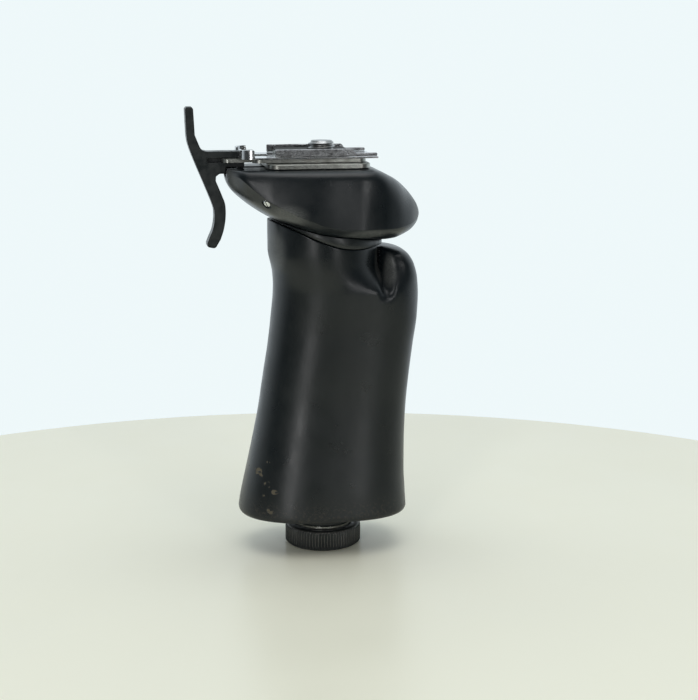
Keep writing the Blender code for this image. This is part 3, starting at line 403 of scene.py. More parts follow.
def moulding_finish():
    """Satin black moulded plastic: fine grain, painted highlight patches with a rubbed look, tan chips low
    in front, scuffs, specks.
    """
    f = Finish("satin_moulding")
    patches = f.noise(35.0, 3.0)
    cloud = f.noise(120.0, 5.0)
    grain = f.noise(2600.0, 2.0, 0.6)
    base = f.mix(f.span(patches, 0.35, 0.7), (0.0052, 0.0082, 0.0102), (0.0078, 0.0112, 0.0134))
    chip_noise = f.noise(520.0, 5.0, 0.62)
    chip_area = None
    for centre, radii in CHIP_BLOTS:
        blot = f.blot(centre, radii)
        chip_area = blot if chip_area is None else f.math("MAXIMUM", chip_area, blot)
    chips = f.span(f.math("ADD", chip_noise, f.math("MULTIPLY", chip_area, 0.3)), 0.73, 0.86)
    chip_colour = f.mix(f.noise(900.0, 2.0), (0.045, 0.04, 0.03), (0.125, 0.105, 0.068))
    low = f.span(f.height(), 24.0 * MM, 14.5 * MM)
    scuffs = f.math("MULTIPLY", low, f.span(f.noise(900.0, 6.0, 0.75), 0.50, 0.64))
    base = f.mix(f.math("MULTIPLY", scuffs, 0.55), base, (0.06, 0.05, 0.04))
    scratch = f.span(f.noise(500.0, 3.0, 0.5, f.stretched((1.0, 1.0, 0.05), (20.0, 12.0, 0.0))), 0.725, 0.75)
    base = f.mix(f.math("MULTIPLY", scratch, 0.25), base, (0.06, 0.065, 0.07))
    # Painted highlights: a light grey is laid into the colour at these blots, streaked by brushed noise, and
    # the surface there is made rougher
    rubbed_and_highlight = None
    for centre, radii in PAINTED_HIGHLIGHT_BLOTS:
        blot = f.blot(centre, radii)
        rubbed_and_highlight = blot if rubbed_and_highlight is None else f.math("MAXIMUM", rubbed_and_highlight, blot)
    brushed = f.noise(900.0, 4.0, 0.6, f.stretched((1.0, 3.0, 5.0), (0.0, 24.0, 0.0)))
    rubbed_and_highlight = f.math("MULTIPLY", rubbed_and_highlight, f.span(brushed, 0.30, 0.72, 0.35, 1.0))
    # The light grey here is a painted highlight
    base = f.mix(rubbed_and_highlight, base, (0.10, 0.105, 0.103))
    speck = f.math(
        "MULTIPLY",
        f.span(f.cells(260.0), 0.085, 0.05),
        f.span(f.cells(260.0, output="Color"), 0.962, 0.972),
    )
    base = f.mix(speck, base, (0.45, 0.45, 0.42))
    base = f.mix(chips, base, chip_colour)
    rough = f.span(cloud, 0.3, 0.7, 0.27, 0.36)
    rough = f.math("ADD", rough, f.math("MULTIPLY", f.math("MAXIMUM", chips, scuffs), 0.25))
    rough = f.math("ADD", rough, f.math("MULTIPLY", rubbed_and_highlight, 0.14))
    normal = f.bump(grain, 0.16, 0.0001)
    normal = f.bump(f.noise(260.0, 2.0), 0.10, 0.0003, normal)
    worn_away = f.math("MAXIMUM", chips, f.math("MULTIPLY", scratch, 0.4))
    normal = f.bump(f.math("SUBTRACT", 0.0, worn_away), 0.5, 0.00015, normal)
    return f.done(base, rough, normal, Specular_IOR_Level=0.43)


def enamel_finish(name, edge, bare=(0.42, 0.41, 0.38)):
    """Black enamel over metal, rubbed bright on its edges as far as edge says."""
    f = Finish(name)
    patches = f.noise(160.0, 4.0)
    base = f.mix(patches, (0.0080, 0.0112, 0.0125), (0.0125, 0.0165, 0.0175))
    broken = f.math("MULTIPLY", f.noise(1500.0, 4.0, 0.7), 0.5)
    rubbed_and_highlight = f.math("ADD", f.math("MULTIPLY", f.wear(), edge), broken)
    worn = f.span(rubbed_and_highlight, 0.62, 0.78)
    nick = f.span(f.noise(700.0, 5.0, 0.7), 0.74, 0.77)
    worn = f.math("MAXIMUM", worn, f.math("MULTIPLY", nick, 0.6))
    base = f.mix(worn, base, bare)
    rough = f.span(f.noise(420.0, 4.0), 0.3, 0.7, 0.28, 0.46)
    normal = f.bump(f.noise(1800.0, 3.0), 0.14, 0.0001)
    normal = f.bump(f.math("SUBTRACT", 0.0, worn), 0.3, 0.00005, normal)
    return f.done(base, rough, normal, metallic=f.math("MULTIPLY", worn, 0.95))


def metal_finish(name, colour, stain, roughness, scratches, direction=(1.0, 14.0, 14.0)):
    """Bare or plated metal with brushed lines, stray scratches and dull, tarnished patches."""
    f = Finish(name)
    lines = f.noise(900.0, 3.0, 0.6, f.stretched(direction))
    patches = f.noise(240.0, 5.0, 0.6)
    marks = f.noise(700.0, 6.0, 0.78, f.stretched((1.0, 1.0, 2.2), (0.0, 35.0, 20.0)))
    dull = f.span(patches, 0.42, 0.68)
    base = f.mix(f.math("MULTIPLY", dull, 0.8), colour, stain)
    pits = f.math("MULTIPLY", f.span(marks, 0.52, 0.62), scratches)
    base = f.mix(pits, base, tuple(c * 0.25 for c in stain))
    brushed = f.span(lines, 0.25, 0.75, roughness * 0.6, roughness * 1.5)
    rough = f.math("ADD", brushed, f.math("MULTIPLY", dull, 0.12))
    rough = f.math("ADD", rough, f.math("MULTIPLY", pits, 0.25), clamp=True)
    normal = f.bump(lines, 0.10, 0.00005)
    normal = f.bump(f.math("SUBTRACT", 0.0, f.math("MULTIPLY", marks, scratches)), 0.45, 0.0001, normal)
    return f.done(base, rough, normal, metallic=1.0)


def pad_finish():
    """Thin black friction pad with a fine grain and paler dusty patches."""
    f = Finish("friction_pad")
    grain = f.noise(1900.0, 3.0, 0.7)
    base = f.mix(f.span(grain, 0.35, 0.7), (0.008, 0.010, 0.010), (0.035, 0.037, 0.036))
    dust = f.span(f.noise(420.0, 6.0, 0.75), 0.6, 0.72)
    base = f.mix(f.math("MULTIPLY", dust, 0.3), base, (0.11, 0.11, 0.10))
    return f.done(base, f.span(grain, 0.3, 0.7, 0.72, 0.92), f.bump(grain, 0.45, 0.0002))


# Chipped places on the handle, then places on the head and the top of the handle given a painted highlight
# with a rubbed look: centre and radii
CHIP_BLOTS = (
    ((-24.9, -9.5, 31.0), (2.2, 6.0, 3.2)),
    ((-22.4, -13.5, 27.0), (2.2, 5.0, 2.2)),
    ((-20.0, -15.5, 24.8), (2.2, 5.0, 1.5)),
    ((-21.5, -15.0, 17.6), (3.2, 6.0, 1.5)),
    ((-23.8, -12.0, 23.2), (1.2, 5.0, 1.2)),
    ((-22.0, -13.0, 35.2), (1.0, 5.0, 1.0)),
)
PAINTED_HIGHLIGHT_BLOTS = (
    ((-34.5, -8.0, 137.5), (6.5, 10.0, 6.0)),
    ((-15.0, -22.0, 126.0), (9.5, 5.0, 5.0)),
    ((12.0, -22.0, 118.8), (10.0, 6.0, 2.4)),
    ((34.0, -6.0, 126.0), (5.0, 12.0, 9.0)),
    ((-19.5, -8.0, 112.0), (6.5, 11.0, 11.0)),
    ((22.6, -13.0, 104.0), (3.0, 6.0, 9.0)),
    ((18.8, -9.5, 104.0), (1.6, 7.0, 11.0)),
)


# ---- handle and head


def oval(x, front, rear, half_width, squareness):
    """Half-width at x of an oval section from front to rear."""
    u = min(abs((2 * x - front - rear) / (rear - front)), 1.0)
    return half_width * (1 - u**squareness) ** (1 / squareness)


def lobed_half_width_at(x, z):
    """Half-width of the outside at x: one oval low down, then a round neck with the thumb horn behind."""
    front, rear = curve_at(HANDLE_FRONT, z), curve_at(HANDLE_REAR, z)
    half_width, last = curve_at(HANDLE_HALF_WIDTH, z), max(rear, NECK_REAR)
    behind = x > (front + last) / 2
    y = oval(x, front, last, half_width, HANDLE_REAR_SQUARENESS if behind else HANDLE_SQUARENESS)
    parted = smooth_step(*HORN_PARTS, z)
    neck = oval(x, front, NECK_REAR, half_width, 2.0)
    share = min(max((rear - HORN_FRONT) / (HORN_FULL_REAR - HORN_FRONT), 0.0), 1.0)
    horn = oval(x, HORN_FRONT, rear, HORN_HALF_WIDTH * share**0.6, HORN_SQUARENESS) if share else 0.0
    near = max(0.0, 1 - abs(neck - horn) / CREASE_SOFTNESS)
    fade = min(1.0, min(neck, horn) / CREASE_SOFTNESS)
    lobes = max(neck, horn) + 0.25 * CREASE_SOFTNESS * near * near * fade
    reach = GROOVE_WIDTHS[0] if x < GROOVE_X else GROOVE_WIDTHS[1]
    depth = GROOVE_DEPTH * smooth_step(*GROOVE_DEEPENS, z) * math.exp(-(((x - GROOVE_X) / reach) ** 2))
    return (y - min(depth, 0.5 * y)) * (1 - parted) + lobes * parted


def handle_ring(z, around, squeeze=0.0):
    """The handle's section at height z. squeeze draws it in further, for a rounded bottom edge."""
    front, last = curve_at(HANDLE_FRONT, z), max(curve_at(HANDLE_REAR, z), NECK_REAR)
    centre, reach = (front + last) / 2, (last - front) / 2
    ring = []
    for i in range(around):
        angle = 2 * math.pi * i / around
        x = centre + reach * math.cos(angle)
        y = math.copysign(lobed_half_width_at(x, z), math.sin(angle)) if 0 < i and i * 2 != around else 0.0
        shrink = 1 - squeeze / reach
        ring.append((centre + (x - centre) * shrink, y * shrink, z))
    return ring


def neck_point(x, y, z):
    """Spreads the neck's last stretch up to its slanted rim, and leaves the thumb horn as it is."""
    if z < RIM_FROM or x > NECK_REAR:
        return x, y, z
    top = neck_surface(x, y) - RIM_ROUND
    return x, y, RIM_FROM + (z - RIM_FROM) * (top - RIM_FROM) / (HORN_TOP - RIM_FROM)


def rim_ring(ring, inset, rise):
    """The neck's outline drawn in by inset, at this height above the start of its rim's round."""
    centre = sum(x for x, _, _ in ring) / len(ring)
    result = []
    for x, y, _ in ring:
        shrink = 1 - inset / math.hypot(x - centre, y)
        x, y = centre + (x - centre) * shrink, y * shrink
        result.append((x, y, neck_surface(x, y) - RIM_ROUND + rise))
    return result


def make_handle(material):
    around, rounding, rim_steps, fine_from = 240, 8, 5, 82.8
    rings = []
    for i in range(rounding + 1):
        angle = math.pi / 2 * i / rounding
        height = HANDLE_BOTTOM + HANDLE_BOTTOM_ROUND * (1 - math.cos(angle))
        rings.append(handle_ring(height, around, HANDLE_BOTTOM_ROUND * (1 - math.sin(angle))))
    levels = list(np.linspace(HANDLE_BOTTOM + HANDLE_BOTTOM_ROUND + 1.0, fine_from - 0.8, 40))
    levels += list(np.linspace(fine_from, RIM_FROM - 0.5, 50))
    levels += [RIM_FROM + (HORN_TOP - RIM_FROM) * (1 - (1 - i / 14) ** 2) for i in range(15)]
    rings += [[neck_point(*point) for point in handle_ring(float(z), around)] for z in levels]
    last = rings[-1]
    for i in range(1, rim_steps + 1):
        angle = math.pi / 2 * i / rim_steps
        rings.append(rim_ring(last, RIM_ROUND * (1 - math.cos(angle)), RIM_ROUND * math.sin(angle)))
    rings += [rim_ring(last, inset, RIM_ROUND) for inset in (2.0, 5.0, 8.0)]
    rings.append([(x, y, z - 3.0) for x, y, z in rings[-1]])
    recess = [(x * 0.9, y * 0.85, z) for x, y, z in rings[0]]
    floor = [(x, y, z + 1.0) for x, y, z in recess]
    return piece("grip_handle", *loft([floor, recess] + rings), material, "grip", ["handle"], "moulding")


def head_section(x):
    """(top, bottom, half-width, height of the widest line) of the head at x."""
    top, bottom = curve_at(HEAD_TOP, x), curve_at(HEAD_BOTTOM, x)
    edge = min(max(curve_at(HEAD_EDGE, x), bottom + 0.3), top - 0.3)
    return top, bottom, curve_at(HEAD_HALF_WIDTH, x), edge


def blend(pair, limits, x):
    return pair[0] + (pair[1] - pair[0]) * smooth_step(*limits, x)


def flank(x, steps):
    """The head's lower side at x, from the widest line to the keel: (y, z) points of one cubic curve."""
    _, bottom, half_width, edge = head_section(x)
    lean = blend(FLANK_TILT, FLANK_SOFTENS, x) * (edge - bottom) / 2
    knots = (
        (half_width, edge), (half_width - min(lean, half_width / 3), (edge + bottom) / 2),
        (half_width * blend(FLANK_REACH, FLANK_SOFTENS, x), bottom), (0.0, bottom),
    )
    points = []
    for i in range(steps + 1):
        t = i / steps
        weights = ((1 - t) ** 3, 3 * t * (1 - t) ** 2, 3 * t * t * (1 - t), t**3)
        points.append(tuple(sum(w * k[axis] for w, k in zip(weights, knots)) for axis in (0, 1)))
    return points


def upper_side(x, steps):
    """The head's side above the widest line: (y, z) points up to its top, its corner rounder at the rear."""
    top, _, half_width, edge = head_section(x)
    power = blend(HEAD_TOP_SQUARENESS, HEAD_ROUNDS_OFF, x)
    taper = blend(HEAD_SIDE_TAPER, HEAD_ROUNDS_OFF, x)
    corner = 0.5 ** (1 / power)
    shares = []
    for i in range(1, steps + 1):
        along = corner * smooth_step(0, steps, i)
        shares.append(((1 - along**power) ** (1 / power), along))
    for i in range(1, steps + 1):
        across = corner * (1 - (i / steps) ** 2)
        shares.append((across, (1 - across**power) ** (1 / power)))
    return [(half_width * a * (1 - taper * b * b), edge + (top - edge) * b) for a, b in shares]


def head_underside(x, y):
    points = flank(x, 24)[::-1]
    return float(np.interp(abs(y), [p[0] for p in points], [p[1] for p in points]))


def neck_surface(x, y):
    """The neck's end: its rim's height depends on x alone, lowered where the joint ring needs the room."""
    return min(curve_at(NECK_RIM, x), head_underside(x, y) - 2 * RING_GAP - RING_THINNEST)


def head_ring(x, quarter):
    near = flank(x, quarter)[::-1] + upper_side(x, quarter // 2)
    far = [(-y, z) for y, z in reversed(near[1:-1])]
    return [(x, y, z) for y, z in near + far]


def cheek_frame(side):
    """Place and outward direction of a cheek screw on the head's side, which is -1 near and +1 far."""

    def half_width_at(x, z):
        points = flank(x, 24)[::-1]
        return float(np.interp(z, [p[1] for p in points], [p[0] for p in points]))

    step = 0.5
    y = half_width_at(CHEEK_X, CHEEK_Z)
    along = (half_width_at(CHEEK_X + step, CHEEK_Z) - half_width_at(CHEEK_X - step, CHEEK_Z)) / (2 * step)
    up = (half_width_at(CHEEK_X, CHEEK_Z + step) - half_width_at(CHEEK_X, CHEEK_Z - step)) / (2 * step)
    normal = np.array((-along, side, -up), float)
    return np.array((CHEEK_X, side * y, CHEEK_Z)), normal / np.linalg.norm(normal)


def slanted_rod(place, direction, profile, segments=48):
    """Points and faces of a solid turned about a direction, from (distance along it, radius) pairs."""
    across = np.cross(direction, (0.0, 0.0, 1.0))
    across /= np.linalg.norm(across)
    up = np.cross(across, direction)
    spokes = []
    for i in range(segments):
        angle = 2 * math.pi * i / segments
        spokes.append(across * math.cos(angle) + up * math.sin(angle))
    rings = []
    for distance, radius in profile:
        rings.append([tuple(place + direction * distance + radius * spoke) for spoke in spokes])
    return loft(rings)


def make_head(material):
    count, quarter = 170, 44
    front, rear = HEAD_TOP[0][0], HEAD_TOP[-1][0]
    middle, reach = (front + rear) / 2, (rear - front) / 2
    stations = [middle - reach * math.cos(math.pi * i / (count - 1)) for i in range(count)]
    rings = [head_ring(x, quarter) for x in stations]
    head = piece("grip_head", *loft(rings), material, "grip", ["head"], "moulding")
    low, high = (corner.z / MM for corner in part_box("base_plate"))
    cut(head, rod("bore", 0.0, 0.0, POCKET_RADIUS, low - 8.0, high))
    x0, y0, z0, x1, y1, _ = size_of("trigger_spring")
    pocket = [(x0 - 3.4, y0 - 0.6), (x1 + 0.5, y0 - 0.6), (x1 + 0.5, y1 + 0.6), (x0 - 3.4, y1 + 0.6)]
    cut(head, prism("pocket", pocket, z0 - 0.6, high))
    cut(head, prism("notch", rectangle(*NOTCH_X, NOTCH_HALF_WIDTH), NOTCH_FLOOR, high))
    for side in (-1, 1):
        place, normal = cheek_frame(side)
        hole = slanted_rod(place, normal, ((-4.0, CHEEK_RADIUS + 0.2), (3.0, CHEEK_RADIUS + 0.2)))
        cut(head, piece("hole", *hole, None, None, (), None, smooth=False))
    return head


def make_joint_ring(material):
    segments = 144
    radii = (RING_INNER, (RING_INNER + RING_RADIUS) / 2, RING_RADIUS - 0.3, RING_RADIUS - 0.08, RING_RADIUS)
    insets = (0.0, 0.0, 0.0, 0.05, 0.18)
    rings = []
    for i in range(segments):
        angle = 2 * math.pi * i / segments
        upper, lower = [], []
        for radius, inset in zip(radii, insets):
            x, y = RING_CENTRE_X + radius * math.cos(angle), radius * math.sin(angle)
            upper.append((x, y, head_underside(x, y) - RING_GAP - inset))
            lower.append((x, y, neck_surface(x, y) + RING_GAP + inset))
        rings.append(upper + lower[::-1])
    return piece("grip_joint_ring", *turned(rings), material, "grip", ["joint_ring"], "black_metal")


# ---- knob, ferrule and bolt

KNOB_TEETH = 78
KNURL_STEPS = 8
KNURL_DEPTH = 0.5


def make_knob(material):
    low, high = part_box("knob")
    radius, height = high.x / MM, high.z / MM
    around = KNOB_TEETH * KNURL_STEPS
    rings = []
    levels = [
        (0.0, 5.0, 0.0), (0.0, radius - 2.2, 0.0), (0.05, radius - 1.25, 0.0), (0.35, radius - 0.75, 0.0),
        (0.7, radius - 0.25, 0.35), (1.0, radius - 0.05, 1.0), (2.0, radius, 1.0),
        (height - 1.6, radius, 1.0),
        (height - 0.9, radius - 0.05, 1.0), (height - 0.62, radius - 0.28, 0.5),
        (height - 0.3, radius - 0.72, 0.0),
        (height - 0.08, radius - 1.15, 0.0), (height, radius - 1.7, 0.0), (height, radius - 2.8, 0.0),
        (height - 0.25, radius - 3.1, 0.0), (height - 0.25, 5.6, 0.0),
    ]
    for z, r, toothed in levels:
        ring = []
        for i in range(around):
            angle = 2 * math.pi * i / around
            phase = (i % KNURL_STEPS) / KNURL_STEPS
            tooth = abs(2 * phase - 1) ** 1.4
            reach = r - toothed * KNURL_DEPTH * (1 - tooth)
            ring.append((reach * math.cos(angle), reach * math.sin(angle), z))
        rings.append(ring)
    knob = piece("grip_knob", *loft(rings), material, "drive_screw", ["knob"], "black_metal")
    layer = knob.data.attributes.new("wear", "FLOAT", "POINT")
    values = []
    for vert in knob.data.vertices:
        r = math.hypot(vert.co.x, vert.co.y) / MM
        z = vert.co.z / MM
        rim = max(0.0, 1 - abs(z - (height - 0.45)) / 0.55) * (1.0 if r > radius - 1.4 else 0.0)
        tip = smooth_step(radius - 0.32, radius, r) * smooth_step(0.4, 1.6, z) * 0.8
        foot = max(0.0, 1 - abs(z - 0.3) / 0.5) * 0.35
        values.append(max(rim * 0.95, tip, foot))
    layer.data.foreach_set("value", np.array(values, np.float32))
    return knob


def make_ferrule(material):
    low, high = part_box("base_ferrule")
    radius, bottom, top = high.x / MM, low.z / MM, 13.7
    profile = [
        (4.9, bottom + 0.4), (5.3, bottom), (radius - 0.9, bottom), (radius - 0.25, bottom + 0.25),
        (radius, bottom + 0.9),
        (radius, top - 1.6), (radius + 0.15, top - 1.0), (radius, top), (8.6, top), (8.6, top + 8),
        (6.5, top + 8),
        (6.5, bottom + 2.9), (4.9, bottom + 2.9),
    ]
    ferrule = piece("grip_ferrule", *revolve(profile), material, "grip", ["base_ferrule"], "black_metal")
    return wear_of(softened(ferrule, 0.08, 2))


SCREW_MAJOR_RADIUS = 9.525 / 2
SCREW_PITCH = 25.4 / 16
SCREW_DEPTH = 0.9
SCREW_START = 142.0
SCREW_TOP = 150.4
SCREW_LEAD_IN = 0.85
SCREW_BORE = 5.4


def thread_radius(angle, z):
    phase = ((z - angle / (2 * math.pi) * SCREW_PITCH) / SCREW_PITCH) % 1.0
    flank_share = min(max(1.9 * (1 - 2 * abs(phase - 0.5)) - 0.42, 0.0), 1.0)
    return SCREW_MAJOR_RADIUS - SCREW_DEPTH * (1 - flank_share)


def make_bolt(material):
    segments = 96
    angles = [2 * math.pi * i / segments for i in range(segments)]
    shank, land, shoulder = 3.9, 4.8, 4.7
    plain = (
        (2.2, 3.5), (2.6, shank), (7.7, shank), (7.7, land), (17.0, land), (17.8, shank), (131.2, shank),
        (132.0, shoulder), (141.0, shoulder),
    )
    rings = [[(r * math.cos(a), r * math.sin(a), z) for a in angles] for z, r in plain]
    top = SCREW_TOP
    taper_from = top - SCREW_LEAD_IN
    for z in np.linspace(SCREW_START, top, 86):
        limit = SCREW_MAJOR_RADIUS - 0.25 - max(0.0, (z - taper_from) * 1.05)
        ring = []
        for a in angles:
            r = min(thread_radius(a, z), limit if z > taper_from else SCREW_MAJOR_RADIUS)
            ring.append((r * math.cos(a), r * math.sin(a), float(z)))
        rings.append(ring)
    last = rings[-1]
    rings.append([(x * 0.93, y * 0.93, top) for x, y, _ in last])
    rings.append([(x * 0.3, y * 0.3, top - 0.05) for x, y, _ in last])
    return piece("grip_camera_screw", *loft(rings), material, "drive_screw", ["drive_bolt"], "chrome")


# ---- plates, tray and rails


def size_of(node):
    low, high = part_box(node)
    return [v / MM for v in (*low, *high)]


def rounded_outline(x0, x1, half, front_round, rear_round, steps=10):
    corners = (
        (x1, 1, rear_round, 0.0), (x0, 1, front_round, 90.0), (x0, -1, front_round, 180.0),
        (x1, -1, rear_round, 270.0),
    )
    outline = []
    for x, side, radius, start in corners:
        cx = x - radius if x == x1 else x + radius
        cy = side * (half - radius)
        for i in range(steps + 1):
            angle = math.radians(start + 90.0 * i / steps)
            outline.append((cx + radius * math.cos(angle), cy + radius * math.sin(angle)))
    return outline


TONGUE_SLOT_REAR = -30.4
TONGUE_SLOT_HALF_WIDTH = 1.7


def make_plate(node, name, slot, material, rounds, bore, edge, tongue=None):
    x0, _, z0, x1, y1, z1 = size_of(node)
    if tongue:
        front, half, radius = tongue
        x0 = front
    outline = rounded_outline(x0, x1, y1, *rounds)
    rings = [[(x, y, z) for x, y in outline] for z in (z0, z1)]
    obj = piece(name, *loft(rings), material, "grip", [node], slot)
    if tongue:
        x_front = size_of(node)[0]
        strip = rounded_outline(x_front, front + 6.0, half, radius, 0.5)
        cut(obj, prism("tongue", strip, z0, z1), "UNION")
        gap = rectangle(x_front - 2, TONGUE_SLOT_REAR, TONGUE_SLOT_HALF_WIDTH)
        cut(obj, prism("slot", gap, z0 - 1, z1 + 1))
    cut(obj, rod("bore", 0.0, 0.0, bore, z0 - 1, z1 + 1))
    softened(obj, edge, 3)
    applied(obj)
    return wear_of(obj)


TRAY_WALL = 0.8
TRAY_CORNER = 5.0
TRAY_NOTCH_HALF_WIDTH = 4.5
TRAY_NOTCH_REAR = -19.4
TRAY_FLOOR_THICK = 0.6


def tray_outline(box, inset, steps=10, extra=0.0):
    x0, _, _, x1, half, _ = box
    front, half, radius = x0 + inset, half - inset, TRAY_CORNER - inset
    outline = [(x1 + extra, -half), (x1 + extra, half)]
    cx = front + radius
    for start, side in ((90.0, 1), (180.0, -1)):
        cy = side * (half - radius)
        for i in range(steps + 1):
            angle = math.radians(start + 90.0 * i / steps)
            outline.append((cx + radius * math.cos(angle), cy + radius * math.sin(angle)))
    return outline


def make_tray(material):
    box = size_of("coupling_tray")
    x0, _, z0, x1, half, z1 = box
    rings = [[(x, y, z) for x, y in tray_outline(box, 0.0)] for z in (z0, z1)]
    tray = piece("grip_tray", *loft(rings), material, "grip", ["coupling_tray"], "chrome")
    cut(tray, prism("inside", tray_outline(box, TRAY_WALL, extra=4.0), z0 + TRAY_FLOOR_THICK, z1 + 3))
    over, lip_rear, floor = half + 2, x0 + TRAY_CORNER, z0 + TRAY_FLOOR_THICK
    sides = [
        (lip_rear, floor), (x1 + 2, floor), (x1 + 2, z1 + 2), (lip_rear - 0.6, z1 + 2),
        (lip_rear - 0.6, z1 - 0.6),
    ]
    cut(tray, prism("sides", sides, -over, over, axis="y"))
    notch = rectangle(x0 - 2, TRAY_NOTCH_REAR, TRAY_NOTCH_HALF_WIDTH)
    cut(tray, prism("notch", notch, z0 - 1, z1 + 2))
    cut(tray, rod("bore", 0.0, 0.0, SCREW_BORE, z0 - 1, z1 + 2))
    softened(tray, 0.14, 3)
    applied(tray)
    return wear_of(tray)


RAIL_STEP_X = 9.4
RAIL_STEP_Z = 146.7


def make_rails(material):
    for side in ("near", "far"):
        x0, y0, z0, x1, y1, z1 = size_of(f"side_rail_{side}")
        step_x, step_z = RAIL_STEP_X, RAIL_STEP_Z
        outline = [
            (x0, z0), (x1, z0), (x1, step_z), (step_x + 0.9, step_z), (step_x, z1 - 0.2), (step_x - 0.3, z1),
            (x0, z1),
        ]
        rings = [[(x, y, z) for x, z in outline] for y in (y0, y1)]
        rail = piece(f"grip_rail_{side}", *loft(rings), material, "grip", [f"side_rail_{side}"], "chrome")
        softened(rail, 0.38, 4)
        applied(rail)
        wear_of(rail)


# ---- trigger

TRIGGER_FRONT = (
    (-48.8, 162.0), (-48.6, 156.0), (-48.3, 151.3), (-47.4, 147.8), (-45.4, 142.5), (-42.5, 135.4),
    (-39.7, 128.2),
    (-39.1, 125.4), (-39.2, 122.3), (-39.8, 119.3), (-40.9, 116.7), (-41.9, 114.3),
)
TRIGGER_TIP = ((-41.8, 113.4), (-41.1, 113.0), (-39.4, 112.7), (-38.6, 113.1))
TRIGGER_REAR = (
    (-37.0, 115.8), (-35.8, 119.4), (-35.1, 123.8), (-35.2, 128.2), (-36.3, 131.5), (-38.4, 136.7),
)
FORK_ROOT = ((-38.3, 138.2), (-37.2, 139.1))
FORK_DEEP_BOTTOM = 139.2
FORK_DEEP_REAR = -34.9
FORK_LOWER_REAR = -28.2
FORK_UPPER_REAR = -24.5
FORK_SLOT_FRONT = -41.5
FORK_SLOT = (143.15, 144.85)
FORK_LOWER_BOTTOM = 141.6
FORK_UPPER_TOP = 147.1
FORK_SHOULDER = ((-41.4, 147.1), (-42.7, 147.5), (-43.7, 148.5), (-45.5, 152.9))
TRIGGER_TOP = ((-45.9, 162.0), (-46.4, 162.7), (-48.2, 162.7))
WEB_X = (FORK_SLOT_FRONT - 1.0, -34.0)
WEB_HALF_WIDTH = 1.3
WEB_OVERLAP = 0.4
LUG_X = (-30.4, -28.4)
LUG_BOTTOM = 138.0
LUG_HALF_WIDTH = 1.5


def spline(points, steps):
    """Points along a smooth curve through the given ones, the first and last included."""
    known = [np.array(p, float) for p in points]
    padded = [2 * known[0] - known[1], *known, 2 * known[-1] - known[-2]]
    result = []
    for i in range(1, len(padded) - 2):
        a, b, c, d = padded[i - 1 : i + 3]
        for step in range(steps):
            t = step / steps
            cubic = 2 * b + (c - a) * t + (2 * a - 5 * b + 4 * c - d) * t**2 + (3 * b - a - 3 * c + d) * t**3
            result.append(tuple(0.5 * cubic))
    result.append(tuple(known[-1]))
    return result


def trigger_outline(steps):
    low, high = FORK_SLOT
    outline = spline(TRIGGER_FRONT, steps)
    outline += spline(TRIGGER_TIP, steps)
    outline += spline(TRIGGER_REAR, steps)
    outline += list(FORK_ROOT)
    outline += [
        (FORK_ROOT[-1][0] + 0.6, FORK_DEEP_BOTTOM), (FORK_DEEP_REAR, FORK_DEEP_BOTTOM),
        (FORK_DEEP_REAR, FORK_LOWER_BOTTOM), (FORK_LOWER_REAR, FORK_LOWER_BOTTOM), (FORK_LOWER_REAR, low),
        (FORK_SLOT_FRONT + 0.5, low), (FORK_SLOT_FRONT, low + 0.5), (FORK_SLOT_FRONT, high - 0.5),
        (FORK_SLOT_FRONT + 0.5, high), (FORK_UPPER_REAR, high), (FORK_UPPER_REAR, FORK_UPPER_TOP),
    ]
    return outline + spline(FORK_SHOULDER, steps) + list(TRIGGER_TOP)


def make_trigger(material):
    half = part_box("trigger")[1].y / MM
    rings = [[(x, y, z) for x, z in trigger_outline(6)] for y in (-half, half)]
    trigger = piece("grip_trigger", *loft(rings), material, "trigger", ["trigger"], "black_metal")
    low, high = FORK_SLOT[0] - WEB_OVERLAP, FORK_SLOT[1] + WEB_OVERLAP
    cut(trigger, prism("web", rectangle(*WEB_X, WEB_HALF_WIDTH), low, high), "UNION")
    cut(trigger, prism("lug", rectangle(*LUG_X, LUG_HALF_WIDTH), LUG_BOTTOM, low), "UNION")
    softened(trigger, 0.28, 4, 40.0)
    applied(trigger)
    return wear_of(trigger)


SPRING_TURNS = 9
SPRING_RADIUS = 1.4
SPRING_WIRE = 0.25


def make_spring(material):
    x0, _, z0, x1, _, z1 = size_of("trigger_spring")
    per_turn, around = 28, 10
    count = SPRING_TURNS * per_turn
    rings = []
    for i in range(count + 1):
        angle = 2 * math.pi * i / per_turn
        radial = np.array((0.0, math.cos(angle), math.sin(angle)))
        along = x0 + SPRING_WIRE + (x1 - x0 - 2 * SPRING_WIRE) * i / count
        centre = np.array((along, 0.0, (z0 + z1) / 2)) + SPRING_RADIUS * radial
        rings.append([
            tuple(centre + SPRING_WIRE * (radial * math.cos(t) + np.array((1.0, 0, 0)) * math.sin(t)))
            for t in (2 * math.pi * k / around for k in range(around))
        ])
    spring = piece("grip_trigger_spring", *loft(rings), material, "grip", ["trigger_spring"], "steel")
    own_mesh(spring)
    return spring


